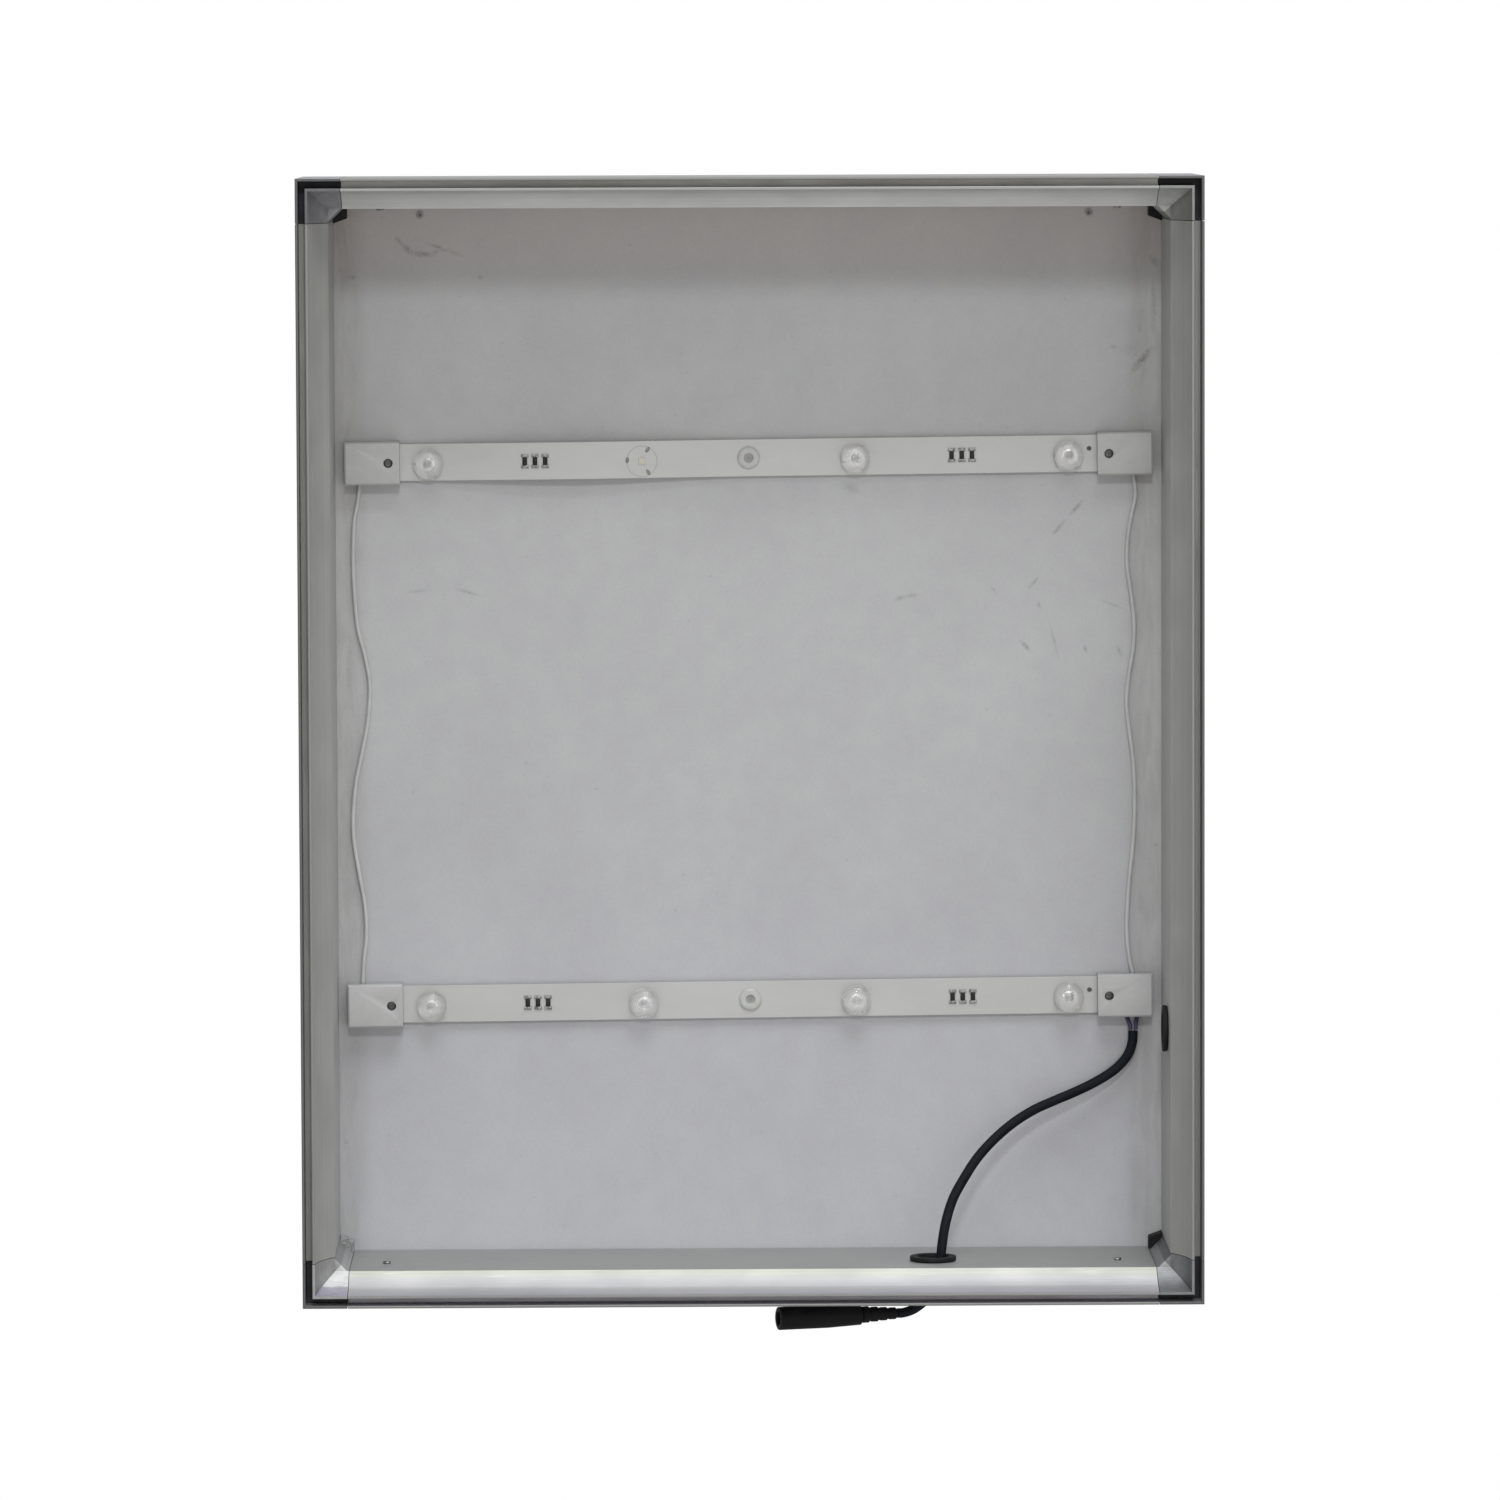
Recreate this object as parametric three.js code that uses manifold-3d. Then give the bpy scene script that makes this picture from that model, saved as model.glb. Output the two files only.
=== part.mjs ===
// A shallow wall-mounted lightbox with its printed front taken out: an extruded aluminium frame
// with moulded corners, a white back panel, two LED boards with lenses and the low-voltage lead.
// Millimetres, +Z up, +X to the viewer's right. The front faces -Y and the wall is the plane Y = 0.
// The origin is the centre of the back.
import * as THREE from "three";
import { mergeVertices } from "three/addons/utils/BufferGeometryUtils.js";
import Module from "manifold-3d";

const wasm = await Module();
wasm.setup();
const { Manifold, Mesh: SolidMesh } = wasm;

// Driving dimensions of the whole object
const frameWidth = 400;
const frameHeight = 500;
const frameDepth = 100;
const fit = 0.3; // gap between pieces that touch
const overrun = 2; // how far a cutting shape runs past what it cuts
const rise = Math.PI / 2;

// Aluminium profile: u is measured inwards from the outer face, v backwards from the front
const lip = 1.2;
const grooveWidth = 3.1;
const grooveDepth = 12;
const ridge = 1.2;
const ridgeRound = 0.4;
const coveWidth = 8.1;
const coveDepth = 24;
const coveHollow = 1.5;
const wall = 1.4;
const legRoom = 30.6; // height of the middle chamber, which takes the corner legs
const ridgeOuter = lip + grooveWidth;
const ridgeInner = ridgeOuter + ridge;
const faceWidth = ridgeInner + coveWidth;
const middleDepth = frameDepth / 2;
const legFront = middleDepth - legRoom / 2;
const legBack = middleDepth + legRoom / 2;

// Back panel, in a rebate behind the profiles
const panelThickness = 3;
const rebateWall = 4.7;
const panelEdge = rebateWall + fit;
const panelFront = frameDepth - panelThickness;
const wallHoleRadius = 1.5;
const wallHoleSide = 150.5;
const wallHoleShift = 3.1; // the pair of holes sits a little to the right
const wallHoleDrop = 3.9; // from the inner wall of the top profile to the centre of the hole
const stopperRadius = 1.8; // rubber stoppers in these holes
const stopperHeight = 0.6;

// Moulded corners
const cornerLeg = 20; // where the profiles are cut square
const coverDepth = 88; // how far back the grey bevel cover reaches
const coverSkin = 1.5;
const coverNose = 27.2; // the cover is solid down to here
const facetLeg = 5.4; // slanted facet across the inner corner
const legReach = 50;
const wedgeAcross = 6.2; // black wedge behind the inner corner
const wedgeTip = 5.2;
const wedgeUp = 7.4;
const cornerScrewPlace = 36; // from the outer corner, along the top and bottom profiles
const cornerScrewLength = 9;

// Small screws
const screwShank = 1.45;
const cornerHead = 1.8;
const cornerHeadHeight = 0.8;
const panelHead = 2.8;
const panelHeadDepth = 1.5;
const panelScrewLength = 8;
const panelScrewInset = 9;
const panelScrewAcross = 100;
const panelScrewUp = 130;

// End caps of the LED boards, which leave a small gap to the profiles on both sides
const capGap = 4.3;
const capLength = 24.9;
const capWidth = 19.5;
const capHeight = 9.5;
const capWall = 1;
const capEdge = 0.8;
const capHole = 2.1;
const capHolePlace = 5.1;
const capBoss = 3.3;
const capScrewHead = 1.9;
const capScrewHeadHeight = 1.6;
const capScrewShank = 1.1;
const notchHeight = 3.8;
const notchSide = 1.6;
const capInner = frameWidth / 2 - faceWidth - capGap - capLength; // from the board's middle

// LED boards
const barSpacing = 245.4;
const barTilt = THREE.MathUtils.degToRad(0.55);
const boardEntry = 8.5; // how far a board reaches into its caps
const boardHalf = capInner + boardEntry;
const boardWidth = 16.75;
const boardThickness = 1.2;
const boardLift = 1.2;
const boardBow = 4.5; // the upper board stands off the panel between its left cap and its rivet
const boardFace = boardLift + boardThickness;
const ledCount = 4;
const ledEnd = 12.9; // from the cap to the first LED
const ledPitch = (2 * (capInner - ledEnd)) / (ledCount - 1);
const ledDrop = 0.8; // the LEDs sit a little below the middle of the board
const ledSide = 3;
const ledHeight = 0.7;
const chipWidth = 2.4;
const chipLength = 5.2;
const chipHeight = 0.6;
const chipPitch = 4.6;
const solderSink = 0.2; // how far a component's solid reaches into the board, to be one with it
const toolingHole = 1.1;
const toolingInset = 3.5; // from the right cap
const toolingUp = 2.2;

// Lenses
const lensRadius = 6.8;
const lensFoot = 0.6;
const lensRimHeight = 2.0;
const lensHeight = 5.9;
const lensMouth = 2.7; // radius of the dimple at the top
const lensDimple = 1.3;
const lensCavity = 2.9;
const lensCavityHeight = 3;
const footRadius = 0.8;
const footCircle = 5.4;
const footCount = 3;

// Push rivets in the middle of the boards
const rivetRadius = 5.1;
const rivetHeight = 1.4;
const rivetEdge = 0.7;
const rivetStem = 1.7;
const rivetCup = 2.2;
const rivetCupDepth = 0.9;

// Cable bushes, at half depth in the bottom and the right wall
const bushFlange = 10.4;
const bushFlangeHeight = 2;
const bushSleeve = 8.4;
const bushBore = 7.2;
const bushEdge = 0.7;
const bottomBushX = 81.1;
const sideBushZ = -132;

// Wires and the lead
const linkRadius = 0.95;
const coreRadius = 0.95;
const leadRadius = 2.2;
const linkOutLeft = 18.1; // where the wires leave the caps, from the cap's inner end outwards
const linkOutRight = 16.4;
const coreOut = 15.55;
const corePitch = 4.7;
const leadSides = 10;
const wireSides = 8;
const leadSteps = 38;
const linkSteps = 44;
const coreSteps = 4;
const linkLift = 1.6; // height of the link wires' centre line over the panel

// Connector: axis from the lead's end to the open socket
const reliefLength = 17;
const reliefWide = 3.7;
const reliefSlim = 2.7;
const reliefRib = 0.5;
const reliefRibs = 4;
const plugBack = 4.5;
const plugRadius = 5.2;
const plugLength = 38.6;
const plugTaperShare = 0.4;
const plugEdge = 0.5;
const socketRadius = 3.1;
const socketDepth = 10;
const pinRadius = 1.05;
const pinLength = 8.4;
const plugAcross = 48.3;
const plugForward = 55; // from the wall plane
const plugDrop = 10; // below the frame
const plugSwing = THREE.MathUtils.degToRad(16.5); // how far the open end points away from the wall

// Facets and steps
const roundFacets = 24;
const lensFacets = 18;
const screwFacets = 10;
const coveSteps = 8;
const lensSteps = 3;
const bowSteps = 16;

// Materials
function finish(color, roughness, metalness) {
  return new THREE.MeshStandardMaterial({ color, roughness, metalness });
}
const aluminium = finish(0xb9bab6, 0.45, 0.8);
const coverGrey = finish(0x8e9096, 0.5, 0.3);
const shellGrey = finish(0xa8aaae, 0.5, 0.4);
const blackPlastic = finish(0x1b1c1f, 0.55, 0);
const steel = finish(0x6a6a6a, 0.4, 0.9);
const panelWhite = finish(0xcfcdcb, 0.8, 0);
const boardWhite = finish(0xe0e0dc, 0.5, 0);
const capWhite = finish(0xdcdcda, 0.45, 0);
const clearPlastic = finish(0xe8ecec, 0.15, 0);
clearPlastic.transparent = true;
clearPlastic.opacity = 0.5;
const nylon = finish(0xd5d5cb, 0.4, 0);
const wireWhite = finish(0xd8d8d4, 0.5, 0);
const cableBlack = finish(0x15161a, 0.5, 0);
const coreBlue = finish(0x2b2c46, 0.5, 0);
const brass = finish(0xb9a77a, 0.3, 1);

// Closed solids from three.js geometry

function signedVolume(position, index) {
  const a = new THREE.Vector3();
  const b = new THREE.Vector3();
  const c = new THREE.Vector3();
  let volume = 0;
  for (let i = 0; i < index.length; i += 3) {
    a.fromBufferAttribute(position, index[i]);
    b.fromBufferAttribute(position, index[i + 1]);
    c.fromBufferAttribute(position, index[i + 2]);
    volume += a.dot(b.cross(c)) / 6;
  }
  return volume;
}

// One closed surface with shared vertices, no empty triangles and its faces pointing out
function closed(geometry) {
  const bare = geometry.clone();
  bare.deleteAttribute("normal");
  bare.deleteAttribute("uv");
  const merged = mergeVertices(bare);
  const old = merged.index.array;
  let index = [];
  for (let i = 0; i < old.length; i += 3) {
    const [a, b, c] = [old[i], old[i + 1], old[i + 2]];
    if (a !== b && b !== c && c !== a) index.push(a, b, c);
  }
  if (signedVolume(merged.attributes.position, index) < 0) index = index.reverse();
  merged.setIndex(index);
  return merged;
}

function toSolid(geometry) {
  const shape = closed(geometry);
  return new Manifold(
    new SolidMesh({
      numProp: 3,
      vertProperties: new Float32Array(shape.attributes.position.array),
      triVerts: new Uint32Array(shape.index.array),
    }),
  );
}

function toGeometry(solid) {
  const mesh = solid.getMesh();
  const step = mesh.numProp;
  const position = new Float32Array(mesh.numVert * 3);
  for (let i = 0; i < mesh.numVert; i++) {
    position.set(mesh.vertProperties.subarray(i * step, i * step + 3), i * 3);
  }
  const geometry = new THREE.BufferGeometry();
  geometry.setAttribute("position", new THREE.BufferAttribute(position, 3));
  geometry.setIndex(new THREE.BufferAttribute(new Uint32Array(mesh.triVerts), 1));
  geometry.computeVertexNormals();
  return geometry;
}

function join(...geometries) {
  return geometries.map(toSolid).reduce((whole, piece) => whole.add(piece));
}

function cut(solid, ...geometries) {
  return geometries.map(toSolid).reduce((whole, piece) => whole.subtract(piece), solid);
}

function outline(points) {
  return new THREE.Shape(points.map(([x, y]) => new THREE.Vector2(x, y)));
}

function extrude(shape, depth) {
  return new THREE.ExtrudeGeometry(shape, {
    depth,
    steps: 1,
    bevelEnabled: false,
  });
}

// A section drawn as (u, v), swept along x from low to high: u becomes z and v becomes y
function alongX(section, low, high) {
  return extrude(section, high - low).rotateY(-rise).translate(high, 0, 0);
}

// A plan drawn as (x, z), given the depth range from front to back along y
function planPrism(plan, front, back) {
  return extrude(plan, back - front).rotateX(rise).translate(0, back, 0);
}

// A box between two corners
function block(low, high) {
  const size = new THREE.Vector3().subVectors(high, low);
  const middle = new THREE.Vector3().addVectors(low, high).multiplyScalar(1 / 2);
  return new THREE.BoxGeometry(size.x, size.y, size.z).translate(middle.x, middle.y, middle.z);
}

// A round bar along y from front to back
function barAlongY(radius, x, z, front, back, facets = screwFacets) {
  const middle = (front + back) / 2;
  return new THREE.CylinderGeometry(radius, radius, back - front, facets).translate(x, middle, z);
}

// A round bar along z from low to high
function barAlongZ(radius, x, y, low, high, facets = screwFacets) {
  const bar = new THREE.CylinderGeometry(radius, radius, high - low, facets);
  return bar.rotateX(rise).translate(x, y, (low + high) / 2);
}

// A turned piece about the y axis, from (radius, y) points that start and end on the axis
function turned(points, facets) {
  return new THREE.LatheGeometry(
    points.map(([r, y]) => new THREE.Vector2(r, y)),
    facets,
  );
}

// A tube along a smooth curve through the route's points
function tube(route, radius, sides, steps) {
  const section = new THREE.Shape();
  for (let i = 0; i < sides; i++) {
    const turn = (2 * Math.PI * i) / sides;
    const [x, y] = [radius * Math.cos(turn), radius * Math.sin(turn)];
    if (i === 0) section.moveTo(x, y);
    else section.lineTo(x, y);
  }
  const extrudePath = new THREE.CatmullRomCurve3(route.map((p) => new THREE.Vector3(...p)));
  return new THREE.ExtrudeGeometry(section, { steps, extrudePath, bevelEnabled: false });
}

const lightbox = new THREE.Group();

function addPiece(name, shape, material, parent = lightbox) {
  const geometry = shape.isBufferGeometry ? closed(shape) : toGeometry(shape);
  const mesh = new THREE.Mesh(geometry, material);
  mesh.name = name;
  parent.add(mesh);
  return mesh;
}

// Four sides and four corners of the frame. Each is drawn once, as on the bottom side or at the
// bottom left corner: x along the side, y from the front to the wall, z inwards.

function sideGroup(x, z, turn) {
  const group = new THREE.Group();
  group.position.set(x, -frameDepth, z);
  group.rotation.y = turn;
  lightbox.add(group);
  return group;
}

const sides = {
  bottom: { group: sideGroup(0, -frameHeight / 2, 0), half: frameWidth / 2 },
  right: { group: sideGroup(frameWidth / 2, 0, -rise), half: frameHeight / 2 },
  top: { group: sideGroup(0, frameHeight / 2, 2 * rise), half: frameWidth / 2 },
  left: { group: sideGroup(-frameWidth / 2, 0, rise), half: frameHeight / 2 },
};
const corners = {
  bottom_left: { group: sideGroup(-frameWidth / 2, -frameHeight / 2, 0), level: true },
  bottom_right: { group: sideGroup(frameWidth / 2, -frameHeight / 2, -rise), level: false },
  top_right: { group: sideGroup(frameWidth / 2, frameHeight / 2, 2 * rise), level: true },
  top_left: { group: sideGroup(-frameWidth / 2, frameHeight / 2, rise), level: false },
};

// The cove between the ridge and the inner wall, a shallow hollow curve
function coveCurve(inset) {
  const slope = new THREE.Vector2(coveWidth, coveDepth).normalize();
  const inwards = new THREE.Vector2(-slope.y, slope.x);
  const start = new THREE.Vector2(ridgeInner, 0).addScaledVector(inwards, inset);
  const end = new THREE.Vector2(faceWidth, coveDepth).addScaledVector(inwards, inset);
  const middle = start.clone().add(end).multiplyScalar(1 / 2);
  middle.addScaledVector(inwards, 2 * coveHollow);
  return new THREE.QuadraticBezierCurve(start, middle, end).getPoints(coveSteps);
}

// The nose that both the profiles and the corner covers show: ridge and cove
function noseOutline() {
  return [
    [ridgeOuter, ridgeRound],
    [ridgeOuter + ridgeRound, 0],
    ...coveCurve(0).map((p) => [p.x, p.y]),
  ];
}

function profileSection() {
  const section = outline([
    [0, ridgeRound],
    [ridgeRound, 0],
    [lip, 0],
    [lip, grooveDepth],
    [ridgeOuter, grooveDepth],
    ...noseOutline(),
    [faceWidth, panelFront - fit],
    [rebateWall, panelFront - fit],
    [rebateWall, frameDepth],
    [0, frameDepth],
  ]);
  const inner = faceWidth - wall;
  // behind the cove's skin the front chamber runs up into the nose, beside the groove
  const skin = coveCurve(wall);
  const first = skin.findIndex((p) => p.x > ridgeInner);
  const share = (ridgeInner - skin[first - 1].x) / (skin[first].x - skin[first - 1].x);
  const tip = skin[first - 1].clone().lerp(skin[first], share);
  const front = outline([
    [wall, grooveDepth + wall],
    [ridgeInner, grooveDepth + wall],
    [tip.x, tip.y],
    ...skin.slice(first).map((p) => [Math.min(p.x, inner), p.y]),
    [inner, legFront - wall],
    [wall, legFront - wall],
  ]);
  const middle = outline([
    [wall, legFront],
    [inner, legFront],
    [inner, legBack],
    [wall, legBack],
  ]);
  const back = outline([
    [wall, legBack + wall],
    [inner, legBack + wall],
    [inner, panelFront - fit - wall],
    [wall, panelFront - fit - wall],
  ]);
  section.holes.push(front, middle, back);
  return section;
}

// Where the cable bushes, corner screws and panel screws pass through each profile
const panelScrewPlaces = { bottom: panelScrewAcross, top: panelScrewAcross };
panelScrewPlaces.left = panelScrewUp;
panelScrewPlaces.right = panelScrewUp;
const bushPlaces = { bottom: bottomBushX, right: sideBushZ };

function addProfile(name) {
  const { group, half } = sides[name];
  const length = half - cornerLeg;
  let solid = toSolid(alongX(profileSection(), -length, length));
  for (const way of [-1, 1]) {
    const screw = barAlongY(
      screwShank + fit,
      way * panelScrewPlaces[name],
      panelScrewInset,
      legBack + wall + overrun,
      panelFront,
    );
    solid = cut(solid, screw);
    if (name === "bottom" || name === "top") {
      const place = way * (half - cornerScrewPlace);
      const low = faceWidth - wall - overrun;
      solid = cut(solid, barAlongZ(screwShank + fit, place, middleDepth, low, faceWidth + overrun));
    }
  }
  if (name in bushPlaces) {
    const hole = barAlongZ(
      bushSleeve + fit,
      bushPlaces[name],
      middleDepth,
      -overrun,
      faceWidth + overrun,
      roundFacets,
    );
    solid = cut(solid, hole);
  }
  addPiece("profile_" + name, solid, aluminium, group);
}

// Swaps x and z, which turns one leg of a corner into the other
function swapped(geometry) {
  const swap = new THREE.Matrix4().set(0, 0, 1, 0, 0, 1, 0, 0, 1, 0, 0, 0, 0, 0, 0, 1);
  return geometry.clone().applyMatrix4(swap);
}

// A section given as (u, v) points in anticlockwise order, swept along both legs of a corner, with
// the mitre on the diagonal
function mitred(section, end) {
  const rings = [
    section.map(([u, v]) => [end, v, u]),
    section.map(([u, v]) => [u, v, u]),
    section.map(([u, v]) => [u, v, end]),
  ];
  const count = section.length;
  const index = [];
  for (let ring = 0; ring < rings.length - 1; ring++) {
    for (let i = 0; i < count; i++) {
      const [a, b] = [ring * count + i, ring * count + ((i + 1) % count)];
      index.push(a, b, b + count, a, b + count, a + count);
    }
  }
  const plan = section.map(([u, v]) => new THREE.Vector2(u, v));
  const last = count * (rings.length - 1);
  for (const [a, b, c] of THREE.ShapeUtils.triangulateShape(plan, [])) {
    index.push(c, b, a, a + last, b + last, c + last);
  }
  const geometry = new THREE.BufferGeometry();
  geometry.setAttribute("position", new THREE.Float32BufferAttribute(rings.flat(2), 3));
  geometry.setIndex(index);
  return geometry;
}

// An L-shaped plan between two distances from the outer faces
function elbow(outer, inner, end) {
  return outline([
    [outer, outer],
    [end, outer],
    [end, inner],
    [inner, inner],
    [inner, end],
    [outer, end],
  ]);
}

const cornerEnd = cornerLeg - fit;

function shellShape() {
  const section = [
    [0, ridgeRound],
    [ridgeRound, 0],
    [lip, 0],
    [lip, frameDepth],
    [0, frameDepth],
  ];
  return mitred(section, cornerEnd);
}

function bevelShape() {
  const section = [
    ...noseOutline(),
    [faceWidth, coverDepth],
    [faceWidth - coverSkin, coverDepth],
    [faceWidth - coverSkin, coverNose],
    [ridgeOuter, coverNose],
  ];
  const seat = faceWidth - coverSkin;
  const facet = outline([
    [seat, seat],
    [faceWidth + facetLeg, seat],
    [faceWidth + facetLeg, faceWidth],
    [faceWidth, faceWidth + facetLeg],
    [seat, faceWidth + facetLeg],
  ]);
  const front = coveDepth + ridgeRound;
  return join(mitred(section, cornerEnd), planPrism(facet, front, coverDepth));
}

// The core fills the corner behind its covers and reaches into both profiles
function coreShape(level) {
  const outer = lip + fit;
  const behindCover = faceWidth - coverSkin - fit;
  const wedgeBase = faceWidth + fit;
  const along = level ? [wedgeAcross, wedgeTip] : [wedgeAcross, wedgeUp];
  const tip = level
    ? [
        [faceWidth + along[0], faceWidth + along[1]],
        [wedgeBase, faceWidth + wedgeUp],
      ]
    : [
        [faceWidth + wedgeUp, wedgeBase],
        [faceWidth + wedgeTip, faceWidth + wedgeAcross],
        [wedgeBase, faceWidth + wedgeAcross],
      ];
  const wedge = outline([
    [faceWidth - fit, faceWidth - fit],
    [cornerEnd, faceWidth - fit],
    [cornerEnd, wedgeBase],
    ...(level ? [[faceWidth + wedgeAcross, wedgeBase]] : []),
    ...tip,
    [wedgeBase, cornerEnd],
    [faceWidth - fit, cornerEnd],
  ]);
  const wedgeFront = coverDepth + fit;
  const legSection = outline([
    [wall + fit, legFront + fit],
    [faceWidth - wall - fit, legFront + fit],
    [faceWidth - wall - fit, legBack - fit],
    [wall + fit, legBack - fit],
  ]);
  const legStart = wall + fit;
  const legOne = alongX(legSection, legStart, legReach);
  const body = join(
    planPrism(elbow(outer, ridgeOuter - fit, cornerEnd), grooveDepth, coverNose + overrun),
    planPrism(elbow(outer, behindCover, cornerEnd), coverNose + fit, wedgeFront + fit),
    planPrism(elbow(outer, faceWidth, cornerEnd), wedgeFront, panelFront - fit),
    planPrism(elbow(outer, rebateWall, cornerEnd), panelFront - overrun, frameDepth),
    planPrism(wedge, wedgeFront, panelFront - fit),
    legOne,
    swapped(legOne),
  );
  // Pilot hole for the corner screw, in the leg that lies along the top or bottom profile
  const low = faceWidth - cornerScrewLength - overrun;
  const pilot = barAlongZ(screwShank + fit, cornerScrewPlace, middleDepth, low, faceWidth);
  return cut(body, level ? pilot : swapped(pilot));
}

// A pan-head screw along the inward direction, through the profile's inner wall into the leg
function cornerScrewShape() {
  const head = faceWidth + fit;
  const screw = turned([
    [0, faceWidth - cornerScrewLength],
    [screwShank, faceWidth - cornerScrewLength],
    [screwShank, head],
    [cornerHead, head],
    [cornerHead, head + cornerHeadHeight / 2],
    [cornerHead - cornerHeadHeight / 2, head + cornerHeadHeight],
    [0, head + cornerHeadHeight],
  ], screwFacets);
  return screw.rotateX(rise).translate(cornerScrewPlace, middleDepth, 0);
}

for (const name of Object.keys(sides)) addProfile(name);
for (const [name, { group, level }] of Object.entries(corners)) {
  addPiece("corner_core_" + name, coreShape(level), blackPlastic, group);
  addPiece("corner_shell_" + name, shellShape(), shellGrey, group);
  addPiece("corner_cover_" + name, bevelShape(), coverGrey, group);
  const screw = cornerScrewShape();
  addPiece("corner_screw_" + name, level ? screw : swapped(screw), steel, group);
}

// Back panel, with its screws from behind

function barCentre(level) {
  return (level * barSpacing) / 2;
}

// A place on a board, given along and across it, as world x and z
function onBoard(level, along, up) {
  const x = along * Math.cos(barTilt) - up * Math.sin(barTilt);
  const z = along * Math.sin(barTilt) + up * Math.cos(barTilt);
  return [x, barCentre(level) + z];
}

const capScrewAlong = capInner + capHolePlace;
const panelScrews = [];
for (const side of ["bottom", "top", "left", "right"]) {
  for (const way of [-1, 1]) {
    const across = side === "bottom" || side === "top";
    const sign = side === "bottom" || side === "left" ? -1 : 1;
    const half = (across ? frameHeight : frameWidth) / 2 - panelScrewInset;
    const place = way * panelScrewPlaces[side];
    panelScrews.push({
      name: "panel_screw_" + side + (way < 0 ? "_1" : "_2"),
      x: across ? place : sign * half,
      z: across ? sign * half : place,
    });
  }
}

function panelScrewShape(grow) {
  return turned([
    [0, -panelScrewLength - grow],
    [screwShank + grow, -panelScrewLength - grow],
    [screwShank + grow, -panelHeadDepth - grow],
    [panelHead + grow, -grow],
    [panelHead + grow, grow],
    [0, grow],
  ], screwFacets);
}

const wallHoleZ = frameHeight / 2 - faceWidth - wallHoleDrop;

function wallHoleX(way) {
  return wallHoleShift + way * wallHoleSide;
}

// A stopper closes a wall-fixing hole from the front until the box is hung
function stopperShape() {
  const seat = -panelThickness - fit;
  const stem = wallHoleRadius - fit;
  return turned([
    [0, seat - stopperHeight],
    [stem, seat - stopperHeight],
    [stopperRadius, seat - stopperHeight / 2],
    [stopperRadius, seat],
    [stem, seat],
    [stem, -fit],
    [0, -fit],
  ], screwFacets);
}

function backPanelShape() {
  const halfWidth = frameWidth / 2 - panelEdge;
  const halfHeight = frameHeight / 2 - panelEdge;
  const low = new THREE.Vector3(-halfWidth, -panelThickness, -halfHeight);
  const high = new THREE.Vector3(halfWidth, 0, halfHeight);
  const holes = panelScrews.map(({ x, z }) => panelScrewShape(fit).translate(x, 0, z));
  const through = [-panelThickness - overrun, overrun];
  for (const way of [-1, 1]) {
    holes.push(barAlongY(wallHoleRadius, wallHoleX(way), wallHoleZ, ...through));
    const [rivetX, rivetZ] = onBoard(way, 0, 0);
    holes.push(barAlongY(rivetStem + fit, rivetX, rivetZ, ...through));
    for (const end of [-1, 1]) {
      const [x, z] = onBoard(way, end * capScrewAlong, 0);
      holes.push(barAlongY(capScrewShank + fit, x, z, ...through));
    }
  }
  return cut(toSolid(block(low, high)), ...holes);
}

addPiece("back_panel", backPanelShape(), panelWhite);
addPiece("hole_stopper_left", stopperShape().translate(wallHoleX(-1), 0, wallHoleZ), blackPlastic);
addPiece("hole_stopper_right", stopperShape().translate(wallHoleX(1), 0, wallHoleZ), blackPlastic);
for (const { name, x, z } of panelScrews) {
  const screw = panelScrewShape(0);
  // the head sits just below the back so that nothing stands proud of the wall face
  addPiece(name, screw.translate(x, -ridgeRound / 4, z), steel);
}

// LED boards. Each board has its own group, turned by the small tilt that it is fixed at, in which
// y = 0 is the front of the panel and forwards is negative.

function boardGroup(level) {
  const group = new THREE.Group();
  group.position.set(0, -panelThickness, barCentre(level));
  group.rotation.y = -barTilt;
  lightbox.add(group);
  return group;
}

// How far the board stands further off the panel than its lift
function bowAt(x, bow) {
  if (x <= -capInner || x >= 0) return 0;
  return bow * Math.sin((Math.PI * x) / capInner) ** 2;
}

function ledPlace(i) {
  return (i - (ledCount - 1) / 2) * ledPitch;
}

function boardShape(bow) {
  const steps = bow > 0 ? bowSteps : 1;
  const xs = [-boardHalf];
  for (let i = 0; i <= steps; i++) xs.push(-capInner + (capInner * i) / steps);
  xs.push(boardHalf);
  const front = xs.map((x) => [x, -boardFace - bowAt(x, bow)]);
  const back = xs.map((x) => [x, -boardLift - bowAt(x, bow)]).reverse();
  const strip = extrude(outline([...front, ...back]), boardWidth).translate(0, 0, -boardWidth / 2);
  const parts = [];
  for (let i = 0; i < ledCount; i++) {
    const x = ledPlace(i);
    const face = -boardFace - bowAt(x, bow);
    parts.push(
      block(
        new THREE.Vector3(x - ledSide / 2, face - ledHeight, -ledDrop - ledSide / 2),
        new THREE.Vector3(x + ledSide / 2, face + solderSink, -ledDrop + ledSide / 2),
      ),
    );
  }
  for (const centre of [-ledPitch, ledPitch]) {
    for (const step of [-1, 0, 1]) {
      const x = centre + step * chipPitch;
      const face = -boardFace - bowAt(x, bow);
      parts.push(
        block(
          new THREE.Vector3(x - chipWidth / 2, face - chipHeight, -chipLength / 2),
          new THREE.Vector3(x + chipWidth / 2, face + solderSink, chipLength / 2),
        ),
      );
    }
  }
  const through = [-boardFace - overrun, -boardLift + overrun];
  return cut(
    join(strip, ...parts),
    barAlongY(rivetStem + fit, 0, 0, ...through),
    barAlongY(capScrewShank + fit, -capScrewAlong, 0, ...through),
    barAlongY(capScrewShank + fit, capScrewAlong, 0, ...through),
    barAlongY(toolingHole, capInner - toolingInset, toolingUp, ...through),
  );
}

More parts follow.
